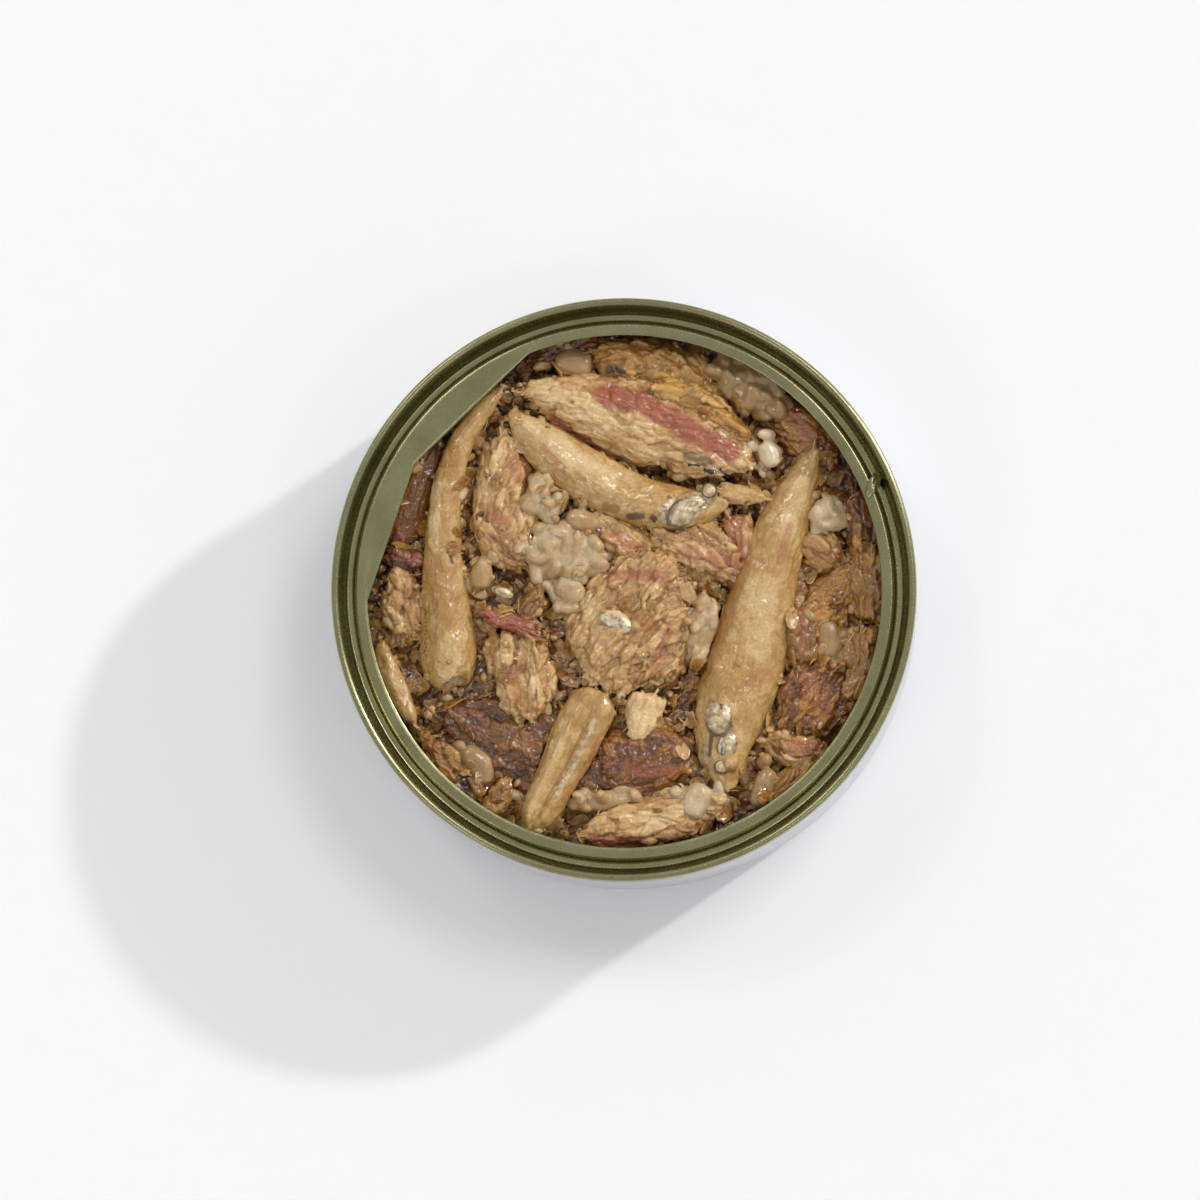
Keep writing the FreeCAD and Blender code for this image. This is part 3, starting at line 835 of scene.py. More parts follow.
@dataclass(frozen=True)
class Relief:
    """How a piece's surface breaks up; depths and sizes in millimetres."""

    lump: float = 0.30
    lump_size: float = 2.4
    plate: float = 0.30
    plate_length: float = 3.6
    plate_width: float = 1.3
    crevice: float = 0.22
    fibre: float = 0.14
    fibre_size: float = 0.55
    fibre_length: float = 4.0
    grit: float = 0.035
    grit_size: float = 0.6
    mottle: float = 0.16


@dataclass(frozen=True)
class Shreds:
    """Fibres and flakes torn half loose from a piece; sizes in millimetres."""

    count: int = 70
    length: tuple[float, float] = (1.6, 5.0)
    width: tuple[float, float] = (0.4, 1.1)
    thickness: tuple[float, float] = (0.22, 0.5)
    yaw: float = 22.0
    pitch: float = 9.0
    ends: int = 14


CHUNK = Relief()
RAGGED = Relief(lump=0.5, plate=0.42, crevice=0.3, fibre=0.18, grit=0.05)
FISH = Relief(lump=0.22, lump_size=3.4, plate=0.05, plate_length=2.6, plate_width=1.6, crevice=0.03, fibre=0.03,
              grit=0.03, mottle=0.03)
GRANULAR = Relief(lump=0.35, plate=0.2, plate_length=2.0, plate_width=1.8, crevice=0.2, fibre=0.05, grit=0.14,
                  grit_size=0.9)
JELLY = Relief(lump=0.10, lump_size=1.4, plate=0.0, crevice=0.0, fibre=0.0, grit=0.02, grit_size=0.8)
WHOLE = Shreds(count=0, ends=0)
FRAYED = Shreds(count=26, length=(1.2, 3.4), width=(0.25, 0.6), thickness=(0.18, 0.3), ends=10)
TORN = Shreds(count=120, ends=22, yaw=30.0, pitch=14.0)
KERNEL_SPANS = ((2.6, 4.4), (1.7, 2.3), (1.5, 2.1))  # length, width and thickness of a swollen grain
KERNEL_SUNK = 0.55


@dataclass(frozen=True)
class Patch:
    """A soft patch of another tone along a short line on a piece, in millimetres.

    what names the attribute that moves towards level: tint, blush, amber, silver or ink.
    """

    what: str
    line: Pairs
    width: float
    level: float = 1.0
    ragged: float = 0.6

    def apply(self, marks: "Marks") -> None:
        """Move the attribute towards the patch's level round its line.

        Args:
            marks: The tones of the piece that is painted.
        """
        line = np.array(self.line, float)
        here = marks.places[:, :2]
        gap = np.full(len(here), np.inf)
        for start, end in zip(line, line[1:] if len(line) > 1 else line):
            run = end - start
            share = np.clip(((here - start) @ run) / max(run @ run, 1e-9), 0, 1)
            gap = np.minimum(gap, np.linalg.norm(here - start - share[:, None] * run, axis=1))
        wander = marks.noise.layered(marks.places / (0.8 * self.width + 0.3) + 31, 3)
        gap = gap + self.ragged * self.width * 0.5 * wander
        mask = 1 - smoothstep(self.width * 0.6, self.width * 1.1, gap)
        values = getattr(marks, self.what)
        values += (self.level - values) * mask


class Marks:
    """Places on one piece and the tones that are painted there."""

    TONES = ("tint", "blush", "amber", "silver", "ink")

    def __init__(self, places: Array, spine: Spine, seed: int, tint: float) -> None:
        """Start from one plain tint.

        Args:
            places: Vertices, in millimetres.
            spine: The line that the piece runs along.
            seed: Seed of the piece's noise.
            tint: From 0, deep, to 1, pale.
        """
        self.places = places
        self.along, self.across, _ = spine.follow(places)
        self.noise = Noise(seed)
        for tone in self.TONES:
            setattr(self, tone, np.full(len(places), tint if tone == "tint" else 0.0))

    def relief(self, how: Relief) -> Array:
        """Break up the surface, give each flake its own tint, and darken the cracks between flakes as painted
        shade.

        Args:
            how: The relief.

        Returns:
            How far each vertex moves along its normal, in millimetres.
        """
        here, depth = self.places, self.places[:, 2]
        made = how.lump * self.noise.layered(here / how.lump_size, 3)
        if how.plate:
            wander = 0.5 * self.noise.at(here / 2.0 + 40)
            cells = np.stack([(self.along + 0.5 * np.abs(self.across)) / how.plate_length,
                              (self.across + wander) / how.plate_width, depth / how.plate_width], axis=1)
            gap, own = self.noise.cells(cells)
            crack = 1 - smoothstep(0.02, 0.22, gap)
            made += how.plate * own - how.crevice * crack
            # Painted shade: the tint is darkened in the cracks between flakes, on top of each flake's own
            # random tone.
            self.tint += how.mottle * own - 0.14 * crack
        if how.fibre:
            lay = np.stack([self.along / how.fibre_length, self.across / how.fibre_size,
                            depth / how.fibre_size], axis=1)
            made += how.fibre * self.noise.layered(lay, 3)
        return made + how.grit * self.noise.layered(here / how.grit_size + 50, 2)

    def store(self, mesh: Mesh) -> None:
        """Write the attributes that the finishes read.

        Args:
            mesh: The piece's mesh.
        """
        lay = np.stack([self.along, self.across, self.places[:, 2]], axis=1) * MM
        set_attribute(mesh, "lay", lay)
        for tone in self.TONES:
            set_attribute(mesh, tone, np.clip(getattr(self, tone), 0, 1))


def spindles(centres: Array, ways: Array, ups: Array, sizes: Array, bends: Array,
             rings: int = 7, corners: int = 6) -> Shape:
    """Closed tapered strands, bent a little.

    Args:
        centres: Middle of each strand.
        ways: Unit direction of each strand's length.
        ups: Unit direction of each strand's thickness.
        sizes: Length, width and thickness of each.
        bends: Sideways bow of each, as a share of its length.
        rings: Sections along a strand.
        corners: Points round a section.

    Returns:
        Points and faces of all the strands.
    """
    sides = np.cross(ups, ways)
    share = np.linspace(-1, 1, rings)
    girth = np.sqrt(np.clip(1 - np.abs(share) ** 2.5, 0.02, 1))
    turn = np.arange(corners) * math.tau / corners
    x = np.repeat(share[:, None], corners, axis=1)
    y, z = np.outer(girth, np.cos(turn)), np.outer(girth, np.sin(turn))
    shape = np.stack([x, y, z], axis=2).reshape(1, -1, 3) * (sizes[:, None, :] / 2)
    shape = shape + np.stack([np.zeros_like(shape[..., 0]),
                              bends[:, None] * sizes[:, :1] * (x.reshape(1, -1) ** 2 - 0.3),
                              np.zeros_like(shape[..., 0])], axis=2)
    points = (centres[:, None] + shape[..., :1] * ways[:, None] + shape[..., 1:2] * sides[:, None]
              + shape[..., 2:] * ups[:, None])
    starts = np.arange(len(centres)) * rings * corners
    faces = [tuple(int(start) + i for i in face) for start in starts for face in tube_faces(rings, corners)]
    return points.reshape(-1, 3), faces


@dataclass(frozen=True)
class Body:
    """Widths and heights along a loose piece, and how far its crest lies below the highest food."""

    widths: Sequence[float]
    heights: Sequence[float]
    drop: float
    sections: int = 13
    corners: int = 16

    def loft(self, spine: Spine, seed: int) -> Shape:
        """A closed body through uneven sections along the spine.

        Args:
            spine: The line that the piece runs along.
            seed: Seed of the unevenness.

        Returns:
            Its points, in millimetres, and faces.
        """
        line, noise = spine.line(), Noise(seed)
        known = np.linspace(0, 1, len(self.widths))
        turn = np.arange(self.corners) * math.tau / self.corners
        rings = []
        for step in range(self.sections):
            share = (1 - math.cos(math.pi * step / (self.sections - 1))) / 2
            closing = max(0.3, math.sqrt(1 - abs(2 * share - 1) ** 8))
            width, height = np.interp(share, known, self.widths), np.interp(share, known, self.heights)
            place = share * (len(line) - 1)
            index = min(int(place), len(line) - 2)
            centre = line[index] + (line[index + 1] - line[index]) * (place - index)
            way = (line[index + 1] - line[index]) / np.linalg.norm(line[index + 1] - line[index])
            at = np.column_stack([np.cos(turn), np.sin(turn), turn * 0 + share * 3])
            reach = 1 + 0.12 * noise.at(at * 1.5)
            aside = closing * width / 2 * reach * np.cos(turn)
            rise = closing * height / 2 * np.minimum(reach, 1) * np.sin(turn)
            rings.append(np.column_stack([centre[0] + way[1] * aside, centre[1] - way[0] * aside,
                                          FOOD_TOP - self.drop - height / 2 + rise]))
        return np.concatenate(rings), tube_faces(self.sections, self.corners)


def tube_faces(rings: int, corners: int) -> list[tuple[int, ...]]:
    """Quads along a row of rings of points, and a cap at either end.

    Args:
        rings: Number of rings.
        corners: Points in each ring.

    Returns:
        Faces of the closed tube.
    """
    quads = [(r * corners + c, r * corners + (c + 1) % corners,
              (r + 1) * corners + (c + 1) % corners, (r + 1) * corners + c)
             for r in range(rings - 1) for c in range(corners)]
    return quads + [tuple(reversed(range(corners))), tuple(range((rings - 1) * corners, rings * corners))]


@dataclass
class Morsel:
    """One piece of food, made from its construction solid or, when it has a body, loose on the heap."""

    node: str
    flesh: Flesh
    run: Pairs
    relief: Relief = CHUNK
    shreds: Shreds = field(default_factory=Shreds)
    tint: float = 0.5
    patches: Sequence[Patch] = ()
    grains: int = 0
    voxel: float = 0.24
    body: Body | None = None
    seed: int = 1

    @property
    def spine(self) -> Spine:
        """The line that the piece runs along."""
        return Spine(self.run)

    def solid(self) -> Shape:
        """The shape to start from.

        Returns:
            Points, in millimetres, and faces of the construction solid or of the loose body.
        """
        if self.body:
            return self.body.loft(self.spine, self.seed)
        welded = bmesh.new()
        welded.from_mesh(frame["nodes"][self.node].data)
        bmesh.ops.remove_doubles(welded, verts=welded.verts, dist=0.001 * MM)
        points = np.array([v.co[:] for v in welded.verts]) / MM
        faces = [tuple(v.index for v in f.verts) for f in welded.faces]
        welded.free()
        return points, faces

    def sampled(self, points: Array, faces: list, count: int, chance: Chance) -> tuple[Array, Array]:
        """Random places on the upper side of the solid and its normals there.

        Args:
            points: Points of the solid.
            faces: Its faces.
            count: How many places.
            chance: Where they fall.

        Returns:
            The places and the unit normals there.
        """
        corners = points[np.array([f[:3] for f in faces])]
        normals = np.cross(corners[:, 1] - corners[:, 0], corners[:, 2] - corners[:, 0])
        areas = np.linalg.norm(normals, axis=1) + 1e-12
        normals = normals / areas[:, None]
        weight = areas * (normals[:, 2] > -0.1)
        picked = chance.choice(len(faces), count, p=weight / weight.sum())
        mix = chance.dirichlet((1, 1, 1), count)
        return (corners[picked] * mix[:, :, None]).sum(axis=1), normals[picked]

    def torn(self, points: Array, faces: list, chance: Chance) -> Shape:
        """Shreds that lie along the piece, some past its ends.

        Args:
            points: Points of the solid.
            faces: Its faces.
            chance: Where they lie and how large they are.

        Returns:
            Points and faces of the shreds.
        """
        how = self.shreds
        count = how.count + how.ends
        centres, ups = self.sampled(points, faces, how.count, chance)
        line = self.spine.line()
        tips = np.where(chance.random(how.ends)[:, None] < 0.5, line[0], line[-1])
        nearest = ((points[None, :, :2] - tips[:, None]) ** 2).sum(axis=2).argsort(axis=1)
        towards = points[nearest[np.arange(how.ends), chance.integers(0, 12, how.ends)]]
        centres = np.concatenate([centres, towards])
        ups = np.concatenate([ups, np.tile([0.0, 0.0, 1.0], (how.ends, 1))])
        ways = np.concatenate([self.spine.follow(centres)[2], np.zeros((count, 1))], axis=1)
        yaw = np.radians(chance.normal(0, how.yaw, count))
        turned = np.stack([ways[:, 0] * np.cos(yaw) - ways[:, 1] * np.sin(yaw),
                           ways[:, 0] * np.sin(yaw) + ways[:, 1] * np.cos(yaw),
                           np.sin(np.radians(chance.normal(0, how.pitch, count)))], axis=1)
        turned -= ups * (turned * ups).sum(axis=1)[:, None] * 0.8
        turned /= np.linalg.norm(turned, axis=1)[:, None]
        ups = ups - turned * (ups * turned).sum(axis=1)[:, None]
        ups /= np.linalg.norm(ups, axis=1)[:, None] + 1e-9
        spans = (how.length, how.width, how.thickness)
        sizes = np.stack([chance.uniform(*span, count) for span in spans], axis=1)
        return spindles(centres, turned, ups, sizes, chance.normal(0, 0.08, count))

    def kernels(self, points: Array, faces: list, chance: Chance) -> Shape:
        """Swollen grains heaped over the piece.

        Args:
            points: Points of the solid.
            faces: Its faces.
            chance: Where they lie and how large they are.

        Returns:
            Points and faces of the grains.
        """
        centres, ups = self.sampled(points, faces, self.grains, chance)
        centres = centres - ups * KERNEL_SUNK
        ways = chance.normal(0, 1, (self.grains, 3))
        ways -= ups * (ways * ups).sum(axis=1)[:, None] * 0.7
        ways /= np.linalg.norm(ways, axis=1)[:, None]
        ups = ups - ways * (ups * ways).sum(axis=1)[:, None]
        ups /= np.linalg.norm(ups, axis=1)[:, None]
        sizes = np.stack([chance.uniform(*span, self.grains) for span in KERNEL_SPANS], axis=1)
        return spindles(centres, ways, ups, sizes, chance.normal(0, 0.05, self.grains), 9, 10)

    def remeshed(self) -> Mesh:
        """Melt the solid, its shreds and its grains together.

        Returns:
            One even skin of small quads, in metres.
        """
        points, faces = self.solid()
        chance = np.random.default_rng(self.seed)
        parts = [(points, faces)]
        if self.shreds.count:
            parts.append(self.torn(points, faces, chance))
        if self.grains:
            parts[0] = (points + (points.mean(axis=0) - points) * 0.14, faces)
            parts.append(self.kernels(points, faces, chance))
        all_points, all_faces, start = [], [], 0
        for some_points, some_faces in parts:
            all_points.append(some_points)
            all_faces += [tuple(start + i for i in face) for face in some_faces]
            start += len(some_points)
        work = new_mesh_object(self.node + "_work", np.concatenate(all_points) * MM, all_faces,
                               FINISHES[self.flesh])
        even = work.modifiers.new("even", "REMESH")
        even.mode = "VOXEL"
        even.voxel_size = self.voxel * MM
        soft = work.modifiers.new("soft", "SMOOTH")
        soft.iterations = 3 if self.grains else 1
        mesh = evaluated_mesh(work)
        discard(work)
        return mesh

    def build(self) -> Object:
        """Build, roughen and dress the piece.

        Returns:
            The finished piece, riding on the tin in place of its solid.
        """
        mesh = self.remeshed()
        places, normals = vertex_arrays(mesh)
        places /= MM
        marks = Marks(places, self.spine, self.seed, self.tint)
        places = held_inside(places + normals * marks.relief(self.relief)[:, None])
        for patch in self.patches:
            patch.apply(marks)
        mesh.vertices.foreach_set("co", (places * MM).astype(np.float32).ravel())
        marks.store(mesh)
        mesh.shade_smooth()
        mesh.update()
        piece = link_mesh("food_" + self.node, mesh)
        settle(piece, self.flesh.slot, "filling" if self.body else self.node)
        return piece


def held_inside(places: Array) -> Array:
    """Keep food clear of the wall and of the countersink's underside.

    Args:
        places: Vertices, in millimetres.

    Returns:
        The same, drawn in where they came too near the sheet metal.
    """
    reach = np.hypot(places[:, 0], places[:, 1])
    held = places.copy()
    held[:, :2] *= np.minimum(1, WALL_INSIDE / np.maximum(reach, 1e-6))[:, None]
    ceiling = np.where(reach > UNDER_COUNTERSINK, FOOD_TOP + 0.1, FOOD_TOP + 1.0)
    held[:, 2] = np.minimum(held[:, 2], ceiling)
    return held


@dataclass
class HeadPart:
    """A silvery gill cover or a cooked eye, set into a fish's head; sizes in millimetres."""

    name: str
    carrier: str
    place: tuple[float, float]
    radii: tuple[float, float, float]
    bearing: float
    bands: Sequence[tuple[float, str, float]]
    shift: tuple[float, float] = (0.0, 0.0)
    tint: float = 0.8
    proud: float = 0.35
    rings: int = 26
    corners: int = 40

    def build(self) -> None:
        """Build the part where it breaks through the skin of the piece that carries it."""
        tree = surface_tree(bpy.data.objects[self.carrier].data)
        over = Vector((*self.place, FOOD_TOP)) * MM
        hit = tree.ray_cast(over + Vector((0, 0, 5 * MM)), DOWN)[0] or tree.find_nearest(over)[0]
        level = hit.z / MM - self.radii[2] + self.proud
        polar = np.linspace(0.02, math.pi - 0.02, self.rings)
        turn = np.arange(self.corners) * math.tau / self.corners
        x = (self.radii[0] * np.sin(polar)[:, None] * np.cos(turn)).ravel()
        y = (self.radii[1] * np.sin(polar)[:, None] * np.sin(turn)).ravel()
        z = self.radii[2] * np.repeat(np.cos(polar), self.corners)
        noise = Noise(int(abs(self.place[0]) * 10))
        shape = np.column_stack([x, y, z])
        shape *= 1 + 0.10 * noise.layered(shape / 1.1, 3)[:, None]
        way = math.radians(self.bearing)
        places = np.column_stack([
            self.place[0] + shape[:, 0] * math.cos(way) - shape[:, 1] * math.sin(way),
            self.place[1] + shape[:, 0] * math.sin(way) + shape[:, 1] * math.cos(way), level + shape[:, 2]])
        piece = new_mesh_object(self.name, held_inside(places) * MM, tube_faces(self.rings, self.corners),
                                FINISHES[Flesh.FISH])
        outward(piece)
        marks = Marks(places, Spine([self.place, (self.place[0] + 1, self.place[1] + 1)]), 3, self.tint)
        out = np.hypot(x / self.radii[0] - self.shift[0], y / self.radii[1] - self.shift[1])
        out += 0.07 * noise.layered(shape / 0.8 + 9, 2)
        for start, tone, value in self.bands:
            getattr(marks, tone)[out >= start] = value
        marks.silver *= 0.75 + 0.25 * np.clip(noise.layered(shape / 0.5, 2), -1, 1)
        marks.amber = np.maximum(marks.amber, 0.6 * smoothstep(0.1, 0.7, noise.layered(shape / 0.7 + 4, 3)))
        smudges = noise.layered(shape / [1.6, 0.5, 1] + 14, 2)
        marks.ink = np.maximum(marks.ink, 0.8 * smoothstep(0.30, 0.55, smudges))
        marks.store(piece.data)
        settle(piece, Flesh.FISH.slot)


@dataclass
class Food:
    """Everything in the tin: the morsels, the filling under them and what is strewn on top."""

    first_seed: int = 100

    @staticmethod
    def fish() -> list[Morsel]:
        """The four small fish, whole or in part.

        Returns:
            The morsels, in the order of their seeds.
        """
        flesh = Flesh.FISH
        right = [(28.6, 22.6), (26.4, 16.8), (23.8, 10.2), (21.4, 2.4), (19.4, -4.8), (17.6, -12.4),
                 (15.4, -20.6), (15.2, -26.2), (15.8, -30.6)]
        middle = [(-16.4, 27.6), (-12.6, 24.2), (-8.6, 20.6), (-4.2, 17.0), (0.4, 14.9), (5.0, 14.2),
                  (9.6, 13.8), (13.4, 15.2)]
        left = [(-18.4, 31.4), (-23.0, 27.0), (-26.0, 21.6), (-27.0, 14.6), (-26.9, 7.2), (-27.0, 0.4),
                (-27.2, -4.6), (-26.5, -9.4), (-26.8, -15.6)]
        split = [(-4.6, -15.2), (-6.6, -20.4), (-9.2, -26.0), (-12.0, -31.0), (-14.9, -35.8)]
        dots = [Patch("ink", [(-30.0 + 0.35 * math.sin(3.1 * k), -2.4 - 0.62 * k)], 0.16, 0.85, 0.2)
                for k in range(13)]
        dots += [Patch("ink", [(-28.4 + 1.6 * math.sin(5.3 * k), -7.0 - 0.55 * k)], 0.12, 0.7, 0.2)
                 for k in range(14)]
        right_patches = [
            Patch("tint", [(26.6, 16.0), (24.0, 9.0)], 1.6, 0.66),
            Patch("tint", [(20.6, 0.6), (19.6, -8.0)], 2.6, 0.66),
            Patch("amber", [(17.8, 4.2), (15.6, -2.6), (13.4, -10.0)], 1.1, 0.55),
            Patch("amber", [(12.8, -12.0), (13.4, -16.0), (19.6, -12.0)], 1.3, 0.3),
            Patch("blush", [(24.6, 9.8), (23.2, 4.6)], 0.7, 0.45),
            Patch("blush", [(18.2, -13.8), (21.4, -12.4)], 1.0, 0.3),
            Patch("blush", [(15.6, 0.6), (12.6, -13.4)], 0.4, 0.3),
            Patch("tint", [(18.0, -23.6), (16.2, -29.4)], 2.0, 0.5),
            Patch("amber", [(15.6, -27.4), (18.2, -27.6), (16.8, -30.0)], 1.0, 0.7),
            Patch("ink", [(12.9, -21.4), (12.6, -24.4)], 0.35, 0.8),
            Patch("ink", [(18.6, -28.2), (18.4, -29.6)], 0.5, 0.8),
            Patch("silver", [(11.8, -23.2), (12.0, -26.4)], 0.7, 0.6)]
        middle_patches = [
            Patch("tint", [(-13.6, 25.4), (-7.2, 19.6), (-2.6, 16.6)], 1.8, 0.70),
            Patch("blush", [(-12.2, 21.8), (-9.2, 18.6)], 0.6, 0.45),
            Patch("amber", [(-3.0, 12.9), (-1.4, 12.6)], 0.7, 0.8),
            Patch("ink", [(0.6, 11.6), (2.6, 11.4)], 0.55, 0.8),
            Patch("amber", [(6.4, 15.6), (9.0, 16.4)], 0.8, 0.4),
            Patch("silver", [(6.6, 12.0), (9.6, 12.6), (11.6, 13.8)], 1.9, 0.9),
            Patch("ink", [(6.6, 14.2)], 0.45, 0.6)]
        left_patches = [
            Patch("amber", [(-25.4, 21.4), (-26.2, 17.6)], 1.2, 0.55),
            Patch("tint", [(-28.2, 16.0), (-28.6, 8.0)], 1.0, 0.72),
            Patch("tint", [(-20.0, 29.6), (-24.0, 25.2)], 1.2, 0.44),
            Patch("amber", [(-27.6, 3.0), (-26.6, -3.0)], 2.2, 0.45),
            Patch("ink", [(-26.2, 5.8), (-25.8, 4.6)], 0.28, 0.8),
            Patch("tint", [(-26.4, -8.0), (-26.6, -13.0)], 2.4, 0.62),
            Patch("amber", [(-28.4, -14.6), (-25.0, -15.4)], 0.8, 0.8), *dots]
        split_patches = [
            Patch("silver", [(-4.4, -19.2), (-7.4, -25.0), (-10.6, -30.4)], 0.75, 0.5, 0.3),
            Patch("amber", [(-5.6, -19.6), (-9.0, -26.4), (-12.2, -32.0)], 0.3, 0.6, 0.3),
            Patch("tint", [(-9.0, -20.0), (-14.0, -33.0)], 1.2, 0.62),
            Patch("blush", [(-3.0, -21.0), (-8.6, -31.0)], 0.7, 0.4)]
        return [
            Morsel("fish_right", flesh, right, FISH, replace(FRAYED, count=60), 0.50, right_patches),
            Morsel("fish_middle", flesh, middle, FISH, FRAYED, 0.56, middle_patches, voxel=0.2),
            Morsel("fish_left", flesh, left, FISH, FRAYED, 0.50, left_patches, voxel=0.2),
            Morsel("fish_split", flesh, split, FISH, FRAYED, 0.48, split_patches, voxel=0.2),
        ]

    @staticmethod
    def heads() -> list[HeadPart]:
        """Gill covers and eyes, and a scrap of silver skin.

        Returns:
            The parts; each sits on a morsel that is built before it.
        """
        pearl = ((0.0, "tint", 0.85), (0.34, "ink", 0.35), (0.5, "ink", 0.0), (0.5, "silver", 0.7),
                 (0.5, "amber", 0.35), (0.78, "ink", 0.75), (0.95, "ink", 0.3))
        plate = ((0.0, "silver", 0.95), (0.55, "amber", 0.25), (0.86, "ink", 0.7), (0.86, "silver", 0.3),
                 (1.05, "ink", 0.2))
        right, middle, eye = "food_fish_right", "food_fish_middle", (1.3, 1.2, 0.8)
        return [
            HeadPart("fish_right_gill_cover", right, (14.1, -18.9), (3.0, 2.3, 1.3), 100, plate, (0.12, 0.1)),
            HeadPart("fish_right_cheek", right, (15.1, -22.6), (2.6, 1.8, 1.0), 80, plate, (-0.2, -0.3)),
            HeadPart("fish_right_eye", right, (14.5, -26.1), eye, 0, pearl),
            HeadPart("fish_middle_gill_cover", middle, (8.6, 12.0), (2.9, 2.0, 1.2), 40, plate, (0.1, -0.1)),
            HeadPart("fish_middle_eye", middle, (12.6, 15.2), eye, 0, pearl),
            HeadPart("foil_scrap", "food_grain_single", (-18.4, 0.2), (1.7, 0.8, 0.4), -20, plate, (0.2, 0.0)),
        ]

    @staticmethod
    def tuna() -> list[Morsel]:
        """The chunks, folds and flakes of tuna.

        Returns:
            The morsels, in the order of their seeds.
        """
        fish, tuna, golden, dark = Flesh.FISH, Flesh.TUNA, Flesh.GOLDEN, Flesh.DARK
        top = [
            Patch("blush", [(-3.0, 30.0), (1.6, 28.8), (6.0, 26.8), (10.4, 23.8), (15.6, 21.2)], 2.1, 0.95),
            Patch("blush", [(-10.8, 25.8), (-4.4, 21.6), (-1.0, 19.8)], 1.0, 0.75),
            Patch("tint", [(-13.0, 30.8), (-7.0, 28.4), (-2.6, 24.6)], 2.2, 0.74),
            Patch("tint", [(-1.0, 22.6), (4.0, 19.6)], 2.4, 0.60),
            Patch("ink", [(9.4, 20.4), (12.6, 19.6)], 0.9, 0.5)]
        centre = [
            Patch("blush", [(-2.6, 2.6), (2.0, 2.8), (5.8, 2.2)], 1.0, 0.7),
            Patch("amber", [(0.6, -1.6), (3.6, -4.8)], 1.3, 0.75),
            Patch("amber", [(-2.0, -8.8), (2.4, -10.6)], 1.2, 0.5),
            Patch("tint", [(-5.0, -2.4), (-3.0, -8.0)], 2.0, 0.66),
            Patch("blush", [(4.6, -10.6), (6.4, -6.0)], 0.8, 0.6),
            Patch("tint", [(-6.4, -12.6), (-3.4, -13.8)], 1.6, 0.62), Patch("ink", [(0.2, -8.0)], 0.25, 0.6)]
        left = [
            Patch("blush", [(-16.6, 20.0), (-15.2, 17.0)], 1.4, 0.45),
            Patch("tint", [(-20.0, 21.4), (-21.4, 15.4)], 2.0, 0.66),
            Patch("blush", [(-19.8, 11.8), (-17.8, 10.6)], 1.0, 0.5)]
        folded = [
            Patch("tint", [(-18.2, -7.0), (-18.6, -17.4)], 0.9, 0.68),
            Patch("tint", [(-15.6, -7.0), (-12.6, -15.6)], 0.8, 0.66),
            Patch("blush", [(-18.2, -5.6), (-13.0, -6.6)], 0.7, 0.9),
            Patch("amber", [(-16.6, -12.6), (-15.8, -17.0)], 0.9, 0.7)]
        low = [
            Patch("blush", [(-5.0, -37.2), (2.4, -37.6)], 1.0, 0.85),
            Patch("tint", [(0.0, -34.4), (8.0, -33.4)], 1.2, 0.66),
            Patch("amber", [(5.0, -36.2), (12.6, -35.4)], 1.0, 0.4)]
